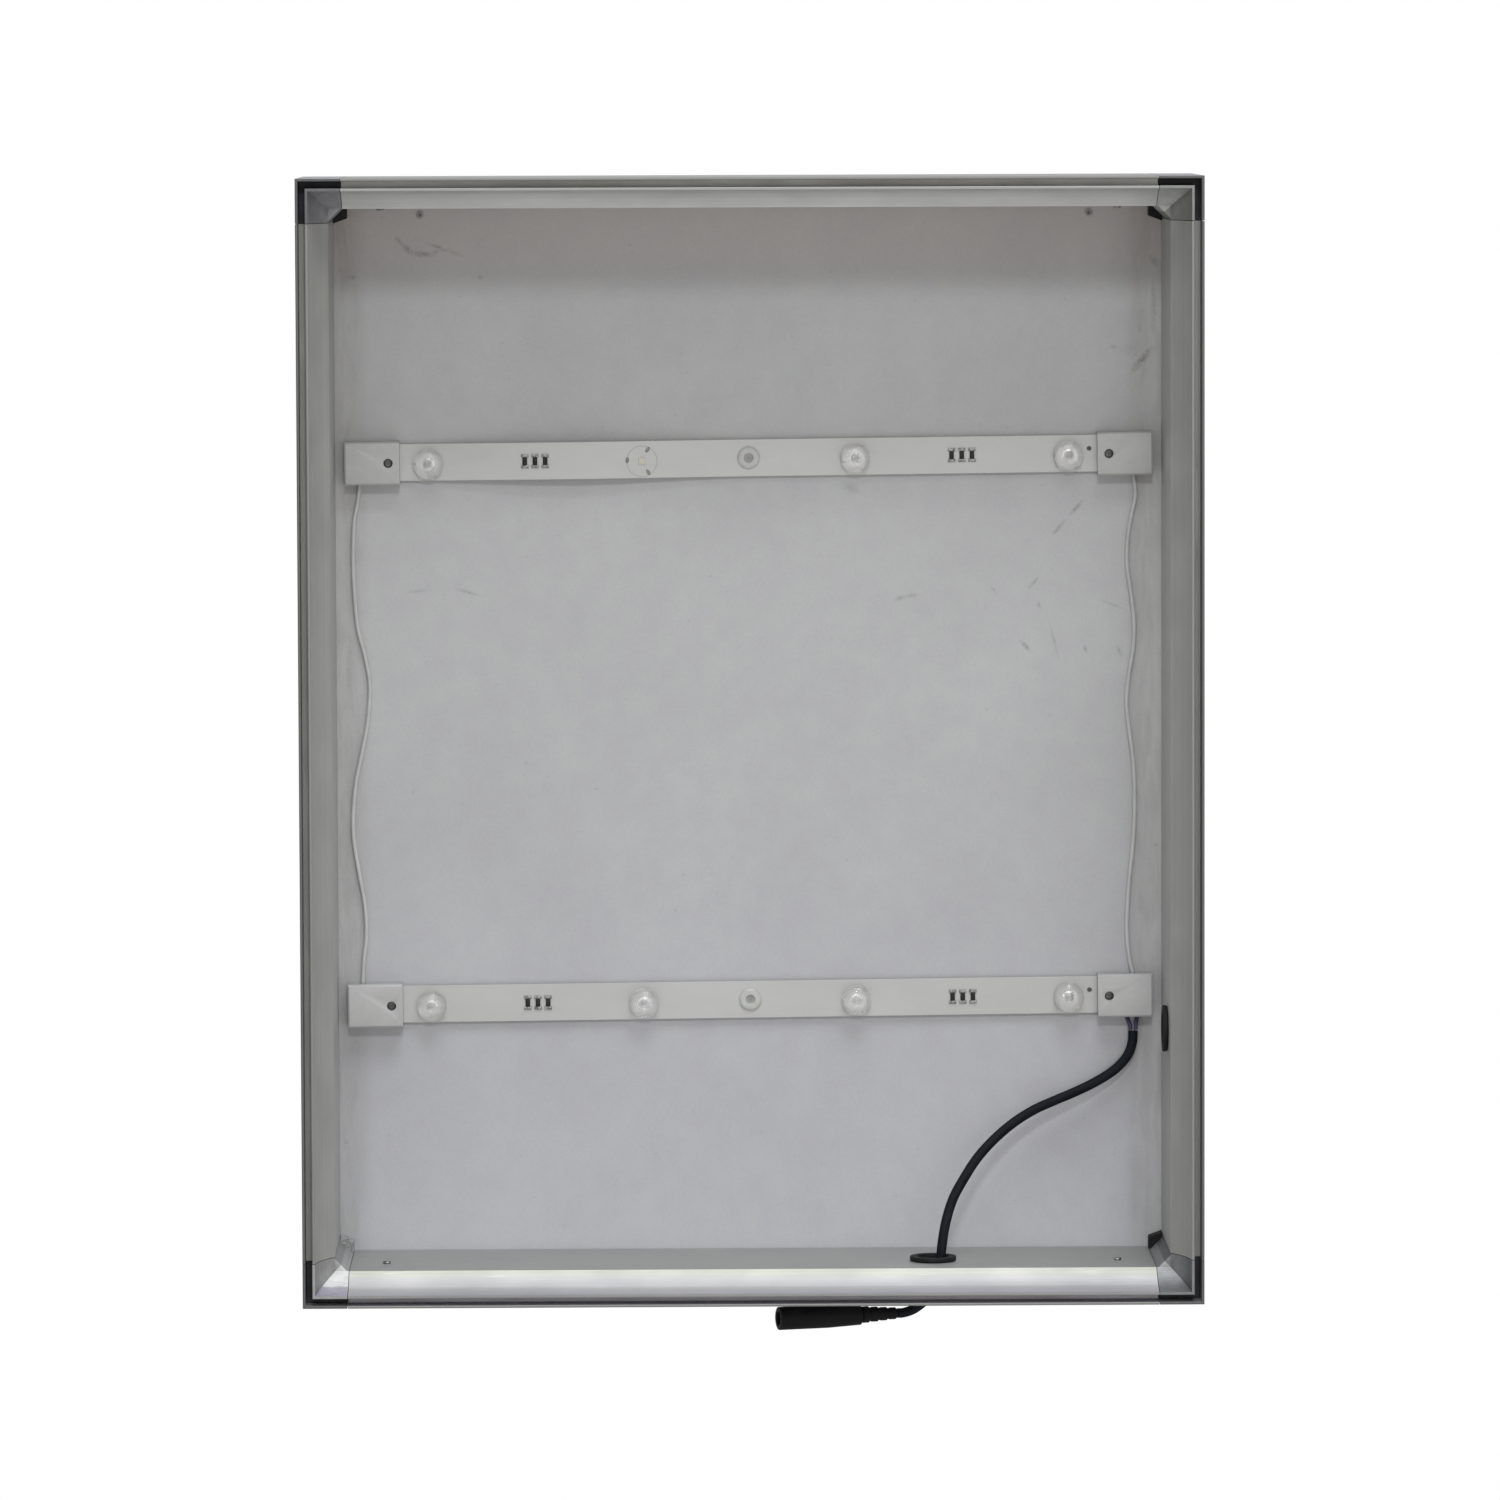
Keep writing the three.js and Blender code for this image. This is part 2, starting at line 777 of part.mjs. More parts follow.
// Dome with a dimple at the top, hollow over the LED, on three glued feet
function lensShape() {
  const path = new THREE.Path();
  path.moveTo(0, lensCavityHeight);
  path.quadraticCurveTo(lensCavity, lensCavityHeight, lensCavity, lensFoot);
  path.lineTo(lensRadius - lensFoot / 2, lensFoot);
  path.lineTo(lensRadius, lensFoot + lensFoot / 2);
  path.lineTo(lensRadius, lensRimHeight);
  path.quadraticCurveTo(lensRadius, lensHeight, lensMouth, lensHeight);
  path.quadraticCurveTo(lensMouth / 2, lensHeight - lensDimple / 2, 0, lensHeight - lensDimple);
  const points = path.getPoints(lensSteps).map((p) => [p.x, -p.y]);
  const feet = [];
  for (let i = 0; i < footCount; i++) {
    const turn = Math.PI - (2 * Math.PI * i) / footCount;
    const [x, z] = [footCircle * Math.cos(turn), footCircle * Math.sin(turn)];
    feet.push(barAlongY(footRadius, x, z, -lensFoot * 2, -fit, lensFacets / footCount));
  }
  return join(turned(points, lensFacets), ...feet);
}

function rivetShape() {
  const low = boardFace + fit;
  return turned([
    [0, panelThickness - fit],
    [rivetStem, panelThickness - fit],
    [rivetStem, -low],
    [rivetRadius, -low],
    [rivetRadius, -low - rivetHeight + rivetEdge],
    [rivetRadius - rivetEdge, -low - rivetHeight],
    [rivetCup, -low - rivetHeight],
    [rivetCup, -low - rivetHeight + rivetCupDepth],
    [0, -low - rivetHeight + rivetCupDepth],
  ], lensFacets);
}

function capScrewShape() {
  const low = boardFace + fit;
  const top = -low - capScrewHeadHeight;
  return turned([
    [0, panelThickness - fit],
    [capScrewShank, panelThickness - fit],
    [capScrewShank, -low],
    [capScrewHead, -low],
    [capScrewHead, top + capScrewHeadHeight / 3],
    [capScrewHead - capScrewHeadHeight / 3, top],
    [0, top],
  ], screwFacets);
}

// Hollow cap: the board enters at its inner end, wires at its notches. Drawn for the right end,
// with x from the inner end outwards; way turns it for the left end.
function capShape(way, notches) {
  const halfWidth = capWidth / 2;
  const face = outline([
    [-halfWidth, 0],
    [halfWidth, 0],
    [halfWidth, -capHeight + capEdge],
    [halfWidth - capEdge, -capHeight],
    [-halfWidth + capEdge, -capHeight],
    [-halfWidth, -capHeight + capEdge],
  ]);
  const start = capInner;
  const end = capInner + capLength;
  const shell = toSolid(alongX(face, start, end).translate(0, -fit, 0));
  const endEdge = outline([
    [end + overrun, -capHeight - fit - overrun],
    [end - capEdge - overrun, -capHeight - fit - overrun],
    [end + overrun, -capHeight - fit + capEdge + overrun],
  ]);
  const room = block(
    new THREE.Vector3(start + capWall, -capHeight - fit + capWall, -halfWidth + capWall),
    new THREE.Vector3(end - capWall, overrun, halfWidth - capWall),
  );
  const boardSlot = block(
    new THREE.Vector3(start - overrun, -boardFace - fit, -boardWidth / 2 - fit),
    new THREE.Vector3(start + capWall + overrun, overrun, boardWidth / 2 + fit),
  );
  const hollow = cut(
    shell,
    extrude(endEdge, capWidth + 2 * overrun).translate(0, 0, -halfWidth - overrun),
    room,
    boardSlot,
  );
  const bossEnd = -boardFace - fit;
  const boss = barAlongY(capBoss, capScrewAlong, 0, -capHeight + capWall / 2, bossEnd, lensFacets);
  const hole = barAlongY(
    capHole,
    capScrewAlong,
    0,
    -capHeight - fit - overrun,
    bossEnd + overrun,
    lensFacets,
  );
  let solid = cut(hollow.add(toSolid(boss)), hole);
  for (const { x, up } of notches) {
    const low = up > 0 ? halfWidth - capWall - overrun : -halfWidth - overrun;
    const notch = block(
      new THREE.Vector3(way * x - notchSide, -notchHeight, low),
      new THREE.Vector3(way * x + notchSide, overrun, low + capWall + 2 * overrun),
    );
    solid = cut(solid, notch);
  }
  const geometry = toGeometry(solid);
  return way > 0 ? geometry : geometry.scale(-1, 1, 1);
}

// Wires leave the caps here, along the board (x) and above or below it (up)
const linkLeftAlong = -capInner - linkOutLeft;
const linkRightAlong = capInner + linkOutRight;
const coreAlong = [-1, 1].map((side) => capInner + coreOut + (side * corePitch) / 2);
const bars = [
  {
    name: "upper",
    level: 1,
    bow: boardBow,
    lenses: [0, 2, 3],
    left: [{ x: linkLeftAlong, up: -1 }],
    right: [{ x: linkRightAlong, up: -1 }],
  },
  {
    name: "lower",
    level: -1,
    bow: 0,
    lenses: [0, 1, 2, 3],
    left: [{ x: linkLeftAlong, up: 1 }],
    right: [{ x: linkRightAlong, up: 1 }, ...coreAlong.map((x) => ({ x, up: -1 }))],
  },
];

for (const { name, level, bow, lenses, left, right } of bars) {
  const group = boardGroup(level);
  addPiece("led_board_" + name, boardShape(bow), boardWhite, group);
  for (const i of lenses) {
    const lens = addPiece("lens_" + name + "_" + (i + 1), lensShape(), clearPlastic, group);
    const x = ledPlace(i);
    const climb = bowAt(x + ledSide, bow) - bowAt(x - ledSide, bow);
    lens.position.set(x, -boardFace - bowAt(x, bow), -ledDrop);
    lens.rotation.z = -Math.atan2(climb, 2 * ledSide);
  }
  addPiece("push_rivet_" + name, rivetShape(), nylon, group);
  addPiece("end_cap_" + name + "_left", capShape(-1, left), capWhite, group);
  addPiece("end_cap_" + name + "_right", capShape(1, right), capWhite, group);
  for (const [end, way] of [["left", -1], ["right", 1]]) {
    const screw = addPiece("cap_screw_" + name + "_" + end, capScrewShape(), steel, group);
    screw.position.x = way * capScrewAlong;
  }
}

// Link wires between the boards, lying along the panel from cap to cap

const linkY = -panelThickness - linkLift;
const linkEnd = capWidth / 2 - capWall - fit; // the wires end just inside the caps

// A wire that waves a little on its way: each point is a share of the way from the upper to the
// lower cap, with how far it lies to the right of the straight line between its ends
function linkRoute(along, wave) {
  const [topX, topZ] = onBoard(1, along, -linkEnd);
  const [lowX, lowZ] = onBoard(-1, along, linkEnd);
  const point = ([share, aside]) => [
    THREE.MathUtils.lerp(topX, lowX, share) + aside,
    linkY,
    THREE.MathUtils.lerp(topZ, lowZ, share),
  ];
  return [[0, 0], ...wave, [1, 0]].map(point);
}

const leftWave = [
  [0.04, -1], [0.08, -2.7], [0.16, -3.3], [0.24, -2.5], [0.29, -1.3], [0.35, 2.1], [0.4, 3.9],
  [0.47, 3], [0.53, 0.5], [0.59, -2.4], [0.66, -4], [0.71, -3.7], [0.78, -1.2], [0.84, 1.1],
  [0.9, 1.7], [0.95, 0.5],
];
const rightWave = [
  [0.05, 0.9], [0.08, -0.5], [0.13, -2.5], [0.19, -2.7], [0.24, -1.1], [0.3, 0.4], [0.35, 0],
  [0.41, -2.2], [0.46, -3], [0.52, -1.6], [0.58, 0.1], [0.66, 0.6], [0.72, 0.2], [0.78, -1.1],
  [0.85, -2.5], [0.92, -2.8], [0.97, -1.5],
];
addPiece(
  "link_wire_left",
  tube(linkRoute(linkLeftAlong, leftWave), linkRadius, wireSides, linkSteps),
  wireWhite,
);
addPiece(
  "link_wire_right",
  tube(linkRoute(linkRightAlong, rightWave), linkRadius, wireSides, linkSteps),
  wireWhite,
);

// The black lead: two cores out of the lower right cap, then the sheathed lead through the bush in
// the bottom wall, to a strain relief and a barrel connector just under the frame

const leadStart = [173.3, -7.6, -137.6];
const coreY = -panelThickness - linkLift;
for (const [i, along] of coreAlong.entries()) {
  const [x, z] = onBoard(-1, along, -linkEnd);
  const side = i === 0 ? -1 : 1;
  const route = [
    [x, coreY, z],
    [x, coreY - fit, z - capWall - fit],
    [leadStart[0] + side * (coreRadius + fit), leadStart[1] + fit, leadStart[2] + leadRadius],
    [leadStart[0] + side * (coreRadius + fit / 2), leadStart[1], leadStart[2] + 2 * fit],
  ];
  addPiece("lead_core_" + (i + 1), tube(route, coreRadius, wireSides, coreSteps), coreBlue);
}

const plugStart = new THREE.Vector3(plugAcross, -plugForward, -frameHeight / 2 - plugDrop);
const plugAxis = new THREE.Vector3(-Math.cos(plugSwing), -Math.sin(plugSwing), 0);
const reliefStart = plugStart.clone().addScaledVector(plugAxis, -reliefLength - fit);
const leadEnd = reliefStart.clone().addScaledVector(plugAxis, -fit);
const leadStraight = leadEnd.clone().addScaledVector(plugAxis, -leadRadius);
const leadRoute = [
  leadStart, [173.0, -7.7, -142.4], [170.9, -8.1, -148.4], [165.6, -9.1, -154.4],
  [157.4, -10.7, -159.7], [147.1, -12.9, -164.5], [137.3, -15.4, -168.3], [127.8, -18.2, -172.2],
  [118.5, -21.4, -177.6], [109.6, -25.3, -184.6], [101.9, -29.7, -192.4], [95.8, -34.5, -200.9],
  [90.4, -40.0, -209.9], [87.2, -44.1, -219.2], [85.4, -47.0, -228.4], [84.5, -48.1, -236.6],
  [83.8, -47.8, -243.1], [82.1, -47.3, -248.3], [79.4, -47.1, -252.6], [75.8, -47.4, -256.2],
  [71.8, -48.1, -258.8],
  leadStraight.toArray(), leadEnd.toArray(),
];
addPiece("power_lead", tube(leadRoute, leadRadius, leadSides, leadSteps), cableBlack);

// Turned pieces on the connector's axis, drawn along y and laid from the start towards the end
function onPlugAxis(geometry, start) {
  const turn = new THREE.Quaternion().setFromUnitVectors(new THREE.Vector3(0, 1, 0), plugAxis);
  return geometry.applyQuaternion(turn).translate(start.x, start.y, start.z);
}

// Ribs that widen towards the connector
function reliefShape() {
  const pitch = reliefLength / reliefRibs;
  const points = [[0, 0]];
  for (let i = 0; i < reliefRibs; i++) {
    const radius = reliefSlim + ((reliefWide - reliefSlim) * i) / (reliefRibs - 1);
    const start = i * pitch;
    points.push([radius - reliefRib, start]);
    points.push([radius, start + reliefRib], [radius, start + pitch - reliefRib]);
  }
  points.push([reliefWide - reliefRib, reliefLength], [0, reliefLength]);
  return turned(points, lensFacets);
}

function plugShape() {
  const taper = plugLength * plugTaperShare;
  return turned([
    [0, 0],
    [plugBack - plugEdge, 0],
    [plugBack, plugEdge],
    [plugRadius, taper],
    [plugRadius, plugLength - plugEdge],
    [plugRadius - plugEdge, plugLength],
    [socketRadius, plugLength],
    [socketRadius, plugLength - socketDepth],
    [0, plugLength - socketDepth],
  ], lensFacets);
}

function pinShape() {
  return turned([
    [0, plugLength - socketDepth + fit],
    [pinRadius, plugLength - socketDepth + fit],
    [pinRadius, plugLength - socketDepth + pinLength - pinRadius / 2],
    [pinRadius / 2, plugLength - socketDepth + pinLength],
    [0, plugLength - socketDepth + pinLength],
  ], screwFacets);
}

addPiece("strain_relief", onPlugAxis(reliefShape(), reliefStart), cableBlack);
addPiece("connector_body", onPlugAxis(plugShape(), plugStart), blackPlastic);
addPiece("connector_pin", onPlugAxis(pinShape(), plugStart), brass);

// Cable bushes: a flange on the inner wall and a sleeve through to the outer face

function bushShape(place) {
  const top = faceWidth + fit + bushFlangeHeight;
  const ring = turned([
    [bushBore, 0],
    [bushSleeve, 0],
    [bushSleeve, faceWidth + fit],
    [bushFlange, faceWidth + fit],
    [bushFlange, top - bushEdge],
    [bushFlange - bushEdge, top],
    [bushBore + bushEdge, top],
    [bushBore, top - bushEdge],
    [bushBore, 0],
  ], roundFacets);
  return ring.rotateX(rise).translate(place, middleDepth, 0);
}

addPiece("cable_bush_bottom", bushShape(bottomBushX), blackPlastic, sides.bottom.group);
addPiece("cable_bush_side", bushShape(sideBushZ), blackPlastic, sides.right.group);

export default lightbox;
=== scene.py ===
# %% [markdown]
# # A wall-mounted lightbox with its printed front taken out
# The real object is a shallow aluminium frame on a white back panel. Inside are two strips of LEDs
# under clear lenses, and a thin black lead that leaves through the bottom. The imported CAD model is
# loaded first as a fixed frame. Everything below is in metres in that same frame, so no piece has to
# be fitted by eye. +X is right, +Z is up, and the wall is the plane y = 0 behind the box.

import math

import bmesh
import bpy
import numpy as np
from mathutils import Matrix, Vector


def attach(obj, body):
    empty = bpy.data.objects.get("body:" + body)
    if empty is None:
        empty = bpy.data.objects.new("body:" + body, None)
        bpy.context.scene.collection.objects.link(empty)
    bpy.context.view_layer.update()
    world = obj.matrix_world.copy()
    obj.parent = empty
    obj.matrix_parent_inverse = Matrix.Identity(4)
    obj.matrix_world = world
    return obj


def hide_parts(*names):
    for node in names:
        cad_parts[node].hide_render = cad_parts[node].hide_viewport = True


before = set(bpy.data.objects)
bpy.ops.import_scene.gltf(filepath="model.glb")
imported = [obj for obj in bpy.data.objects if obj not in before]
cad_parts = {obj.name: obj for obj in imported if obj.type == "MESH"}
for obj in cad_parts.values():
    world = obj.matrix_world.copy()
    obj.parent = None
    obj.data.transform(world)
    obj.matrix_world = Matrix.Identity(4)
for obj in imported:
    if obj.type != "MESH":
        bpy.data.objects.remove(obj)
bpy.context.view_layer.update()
scene = bpy.context.scene
scene.view_settings.view_transform = "Standard"
MM = 0.001

# %% [markdown]
# ## The camera
# The box was photographed from four metres away with a long lens, from a little above. Its place was
# solved from the straight edges of the frame. The lens is given for a 36 mm sensor, from the focal
# length of 8974 pixels in an image 1500 pixels wide. A turn built from three directions leaves no
# doubt about the order of angles.

# %% Camera
camera_place = Vector((-44.69, -4050.3, 291.7)) * MM
yaw, pitch, roll = 0.0111, -0.0743, -0.0036
forward = Vector((math.sin(yaw) * math.cos(pitch), math.cos(yaw) * math.cos(pitch), math.sin(pitch)))
level = Vector((math.cos(yaw), -math.sin(yaw), 0))
upright = level.cross(forward)
right = level * math.cos(roll) + upright * math.sin(roll)
up = upright * math.cos(roll) - level * math.sin(roll)
camera_data = bpy.data.cameras.new("photo_camera")
camera_data.lens = 8973.6 / 1500 * 36
camera = bpy.data.objects.new("photo_camera", camera_data)
camera_turn = Matrix((right, up, -forward)).transposed().to_4x4()
camera.matrix_world = Matrix.Translation(camera_place) @ camera_turn
scene.collection.objects.link(camera)
scene.camera = camera
print("lens:", round(camera_data.lens, 1), "mm")

# %% [markdown]
# ## Sizes that the pieces share
# A dressed piece has to lie where its CAD solid lies, so it is drawn from the same sizes. They are
# kept in millimetres, as on a drawing, and turned into metres when a mesh is made.

# %% Sizes, in millimetres
width, height, depth = 400, 500, 100
fit = 0.3
lip, lip_round, groove_width, groove_depth, ridge, ridge_round = 1.2, 0.35, 3.1, 12, 1.2, 0.4
cove_width, cove_depth, cove_hollow = 8.1, 24, 1.5
chamfer, fine_chamfer = 0.3, 0.2
ridge_outer = lip + groove_width
ridge_inner = ridge_outer + ridge
face_width = ridge_inner + cove_width
panel_thickness, rebate_wall = 3, 4.7
rebate_floor = depth - panel_thickness - fit
corner_leg, cover_depth, cover_skin, cover_nose, facet_leg = 20, 88, 1.5, 27.2, 5.4
cap_gap, cap_length, cap_width, cap_wall = 4.3, 24.9, 19.5, 1
cap_inner = width / 2 - face_width - cap_gap - cap_length
bar_spacing, bar_tilt, board_bow = 245.4, math.radians(0.55), 4.5
board_width, board_lift, board_thickness, board_in_cap = 16.75, 1.2, 1.2, 8.5
board_face = board_lift + board_thickness
board_half = cap_inner + board_in_cap
led_inset, led_drop = 12.9, 0.8
led_pitch = 2 * (cap_inner - led_inset) / 3
led_places = [(i - 1.5) * led_pitch for i in range(4)]
print("cap starts at", round(cap_inner, 1), "and LEDs sit at", [round(x, 1) for x in led_places])

# %% [markdown]
# ## Helpers for meshes
# Most pieces are swept or turned from a drawn section, which needs only a few lines of mesh code.
# A finished piece keeps its place in its vertices, and its object stays at the origin.


# %% Mesh helpers
def new_piece(name, points, faces, uvs=None):
    """An object from points in millimetres, with a pair of UV values for each corner of each face."""
    mesh = bpy.data.meshes.new(name)
    mesh.from_pydata([tuple(value * MM for value in point) for point in points], [], faces)
    if uvs:
        layer = mesh.uv_layers.new(name="UVMap")
        for polygon in mesh.polygons:
            for corner, loop in enumerate(polygon.loop_indices):
                layer.data[loop].uv = uvs[polygon.index][corner]
    mesh.update()
    piece = bpy.data.objects.new(name, mesh)
    scene.collection.objects.link(piece)
    return piece


def edit(piece, work):
    """Lets some mesh work run on a piece."""
    shape = bmesh.new()
    shape.from_mesh(piece.data)
    work(shape)
    shape.to_mesh(piece.data)
    shape.free()
    piece.data.update()
    return piece


def face_outwards(piece):
    return edit(piece, lambda shape: bmesh.ops.recalc_face_normals(shape, faces=shape.faces))


def place(piece, matrix):
    """Moves the vertices, in millimetres, and leaves the object at the origin."""
    turn = matrix.copy()
    turn.translation *= MM
    piece.data.transform(turn)
    return face_outwards(piece)


# %% [markdown]
# Modifiers round the edges and cut the holes, and each piece is a plain mesh again right after.


# %% Edges and holes
def settle(piece):
    """Turns a piece with modifiers into a plain mesh."""
    graph = bpy.context.evaluated_depsgraph_get()
    mesh = bpy.data.meshes.new_from_object(piece.evaluated_get(graph), depsgraph=graph)
    piece.modifiers.clear()
    piece.data = mesh
    return piece


def shade(piece, angle):
    """Shades smoothly, except over edges that turn by more than the angle."""
    piece.data.shade_smooth()
    piece.data.set_sharp_from_angle(angle=math.radians(angle))
    return piece


def soften(piece, edge=0.25, angle=30):
    """Rounds the edges that turn by more than the angle, and shades the rest smoothly."""
    bevel = piece.modifiers.new("edges", "BEVEL")
    bevel.width, bevel.segments, bevel.use_clamp_overlap = edge * MM, 2, True
    bevel.limit_method, bevel.angle_limit = "ANGLE", math.radians(angle)
    return shade(settle(piece), angle)


def cut(piece, tool):
    """Takes the tool's solid out of the piece, and removes the tool."""
    boolean = piece.modifiers.new("cut", "BOOLEAN")
    boolean.operation, boolean.object, boolean.solver = "DIFFERENCE", tool, "EXACT"
    settle(piece)
    bpy.data.objects.remove(tool)


def cut_round(piece, radius, start, end, facets=64):
    """Cuts a round hole between two points."""
    start, end = Vector(start) * MM, Vector(end) * MM
    along = (end - start).to_track_quat("Z", "Y").to_matrix().to_4x4()
    middle = Matrix.Translation((start + end) / 2) @ along
    size = dict(radius1=radius * MM, radius2=radius * MM, depth=(end - start).length)
    cut(piece, edit(new_piece("hole", [], []), lambda shape: bmesh.ops.create_cone(
        shape, cap_ends=True, segments=facets, matrix=middle, **size)))


# %% [markdown]
# A dressed piece gets its finish, rides on the root body and stands for the CAD nodes it names,
# which are hidden.


# %% Finish, body and nodes
def paint(piece, finish):
    """Gives a piece one material in place of those it had."""
    piece.data.materials.clear()
    piece.data.materials.append(finish)


def dress(piece, finish, slot, *nodes):
    """Gives a piece its finish and its CAD body, and lets it stand for these nodes."""
    paint(piece, finish)
    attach(piece, "root")
    if nodes:
        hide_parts(*nodes)
    print(piece.name, len(piece.data.polygons), "faces", "for", ", ".join(nodes) or "itself")
    return piece


# %% [markdown]
# A turned piece is a profile swung round an axis.


# %% Turned pieces
def turned(name, profile, matrix=Matrix.Identity(4), facets=64):
    """A closed solid about the y axis, from (radius, y) points."""
    points, rings = [], []
    for radius, y in profile:
        if radius < 1e-6:
            rings.append([len(points)] * facets)
            points.append((0, y, 0))
        else:
            rings.append(list(range(len(points), len(points) + facets)))
            turns = [2 * math.pi * i / facets for i in range(facets)]
            points += [(radius * math.cos(t), y, radius * math.sin(t)) for t in turns]
    faces = []
    for low, high in zip(rings, rings[1:]):
        for i in range(facets):
            j = (i + 1) % facets
            face = list(dict.fromkeys([low[i], low[j], high[j], high[i]]))
            if len(face) > 2:
                faces.append(face)
    return place(new_piece(name, points, faces), matrix)


# %% [markdown]
# A tube is a ring carried along a smooth line. The ring is turned as little as possible from step to
# step, so that the pattern on it doesn't twist.


# %% Tubes
def ring_faces(rings, sides):
    """The faces between rings of points, and one more on each end."""
    faces = []
    for i in range(rings - 1):
        for k in range(sides):
            a, b = i * sides + k, i * sides + (k + 1) % sides
            faces.append((a, b, b + sides, a + sides))
    return faces + [tuple(range(start, start + sides)) for start in (0, (rings - 1) * sides)]


def tube(name, line, radius, sides):
    """A round bar along the points of a line. Its UV map holds metres along and round it."""
    line = [Vector(point) for point in line]
    along = [(b - a).normalized() for a, b in zip(line, line[1:])]
    along = [along[0]] + [(a + b).normalized() for a, b in zip(along, along[1:])] + [along[-1]]
    side = along[0].orthogonal().normalized()
    points, travelled, lengths = [], 0, []
    for i, (centre, ahead) in enumerate(zip(line, along)):
        if i:
            side = along[i - 1].rotation_difference(ahead) @ side
            travelled += (centre - line[i - 1]).length
        lengths.append(travelled * MM)
        other = ahead.cross(side)
        for k in range(sides):
            turn = 2 * math.pi * k / sides
            points.append(centre + radius * (side * math.cos(turn) + other * math.sin(turn)))
    uvs, girth = [], 2 * math.pi * radius * MM / sides
    for start, end in zip(lengths, lengths[1:]):
        for k in range(sides):
            low, high = k * girth, (k + 1) * girth
            uvs.append([(start, low), (start, high), (end, high), (end, low)])
    uvs += [[(0, 0)] * sides] * 2
    return shade(face_outwards(new_piece(name, points, ring_faces(len(line), sides), uvs)), 50)


def smooth_line(route, steps):
    """A smooth line through the route's points, eased by the square root of their distances."""
    route = [np.array(point, float) for point in route]
    route = [2 * route[0] - route[1]] + route + [2 * route[-1] - route[-2]]
    line = []
    for p0, p1, p2, p3 in zip(route, route[1:], route[2:], route[3:]):
        d0, d1, d2 = (math.sqrt(np.linalg.norm(b - a)) for a, b in ((p0, p1), (p1, p2), (p2, p3)))
        t1 = d1 * ((p1 - p0) / d0 - (p2 - p0) / (d0 + d1) + (p2 - p1) / d1)
        t2 = d1 * ((p2 - p1) / d1 - (p3 - p1) / (d1 + d2) + (p3 - p2) / d2)
        for i in range(steps):
            t = i / steps
            line.append(p1 + t1 * t + (3 * (p2 - p1) - 2 * t1 - t2) * t**2
                        + (2 * (p1 - p2) + t1 + t2) * t**3)
    return [Vector(point) for point in line + [route[-2]]]


# %% [markdown]
# ## Helpers for finishes
# Every finish is a small set of shader nodes: a coordinate, some noise, a colour ramp and a bump. One
# helper adds a node and fills its sockets, either with a value or with another node's output.


# %% Node helpers
def add(tree, kind, values=None, **settings):
    """A new node with these settings. Each socket gets a value or is linked to an output."""
    made = tree.nodes.new(kind)
    for name, value in settings.items():
        setattr(made, name, value)
    for socket, value in (values or {}).items():
        if isinstance(value, bpy.types.NodeSocket):
            tree.links.new(value, made.inputs[socket])
        else:
            made.inputs[socket].default_value = value
    return made


def maths(tree, operation, *values):
    """One sum on numbers or on other nodes' outputs."""
    return add(tree, "ShaderNodeMath", dict(enumerate(values)), operation=operation).outputs[0]


def object_place(tree):
    """The outputs X, Y and Z: where a point lies on the object, in metres."""
    source = add(tree, "ShaderNodeTexCoord").outputs["Object"]
    return add(tree, "ShaderNodeSeparateXYZ", {0: source}).outputs


def new_finish(name, roughness, metallic=0.0, **sockets):
    """A material with these values on its shader, and its node tree."""
    finish = bpy.data.materials.new(name)
    finish.use_nodes = True
    shader = finish.node_tree.nodes["Principled BSDF"]
    shader.inputs["Roughness"].default_value = roughness
    shader.inputs["Metallic"].default_value = metallic
    for socket, value in sockets.items():
        shader.inputs[socket.replace("_", " ")].default_value = value
    return finish, finish.node_tree


# %% [markdown]
# A tone starts as noise. A ramp gives it colours, tones are mixed or multiplied, and a bump makes a
# fine relief of it.


# %% Noise, tones and relief
def grain(tree, size, detail=3, uv=False, distortion=0.0):
    """Noise with blotches of the given size in millimetres, on the object or on its UV map."""
    source = add(tree, "ShaderNodeTexCoord").outputs["UV" if uv else "Object"]
    size = size if isinstance(size, (tuple, list)) else (size, size, size)
    scaled = add(tree, "ShaderNodeMapping", {"Vector": source, "Scale": [1 / (s * MM) for s in size]})
    return add(tree, "ShaderNodeTexNoise", {
        "Vector": scaled.outputs["Vector"], "Scale": 1, "Detail": detail,
        "Distortion": distortion}).outputs["Fac"]


def ramp(tree, factor, *stops):
    """A colour ramp. A stop is (place, grey) or (place, (red, green, blue))."""
    made = add(tree, "ShaderNodeValToRGB", {"Fac": factor})
    while len(made.color_ramp.elements) < len(stops):
        made.color_ramp.elements.new(0.5)
    for element, (where, colour) in zip(made.color_ramp.elements, stops):
        colour = colour if isinstance(colour, (tuple, list)) else (colour,) * 3
        element.position, element.color = where, (*colour, 1)
    return made.outputs["Color"]


def between(tree, noise, low, high):
    """Noise spread from one tone to another."""
    return ramp(tree, noise, (0.3, low), (0.7, high))


def mix(tree, factor, first, second, blend="MIX"):
    """Two tones mixed by a factor, each one an output or a colour."""
    made = add(tree, "ShaderNodeMix", data_type="RGBA", blend_type=blend)
    for socket, value in ((0, factor), (6, first), (7, second)):
        if isinstance(value, bpy.types.NodeSocket):
            tree.links.new(value, made.inputs[socket])
        else:
            made.inputs[socket].default_value = value if socket == 0 else (*value, 1)
    return made.outputs[2]


def times(tree, tone, other, share=1.0):
    """A tone multiplied by another one, fully or by a share."""
    return mix(tree, share, tone, other, "MULTIPLY")


def bump(tree, height, distance, strength=1.0, under=None):
    """A relief as deep as the distance, in millimetres."""
    values = {"Height": height, "Distance": distance * MM, "Strength": strength}
    if under is not None:
        values["Normal"] = under
    return add(tree, "ShaderNodeBump", values).outputs["Normal"]


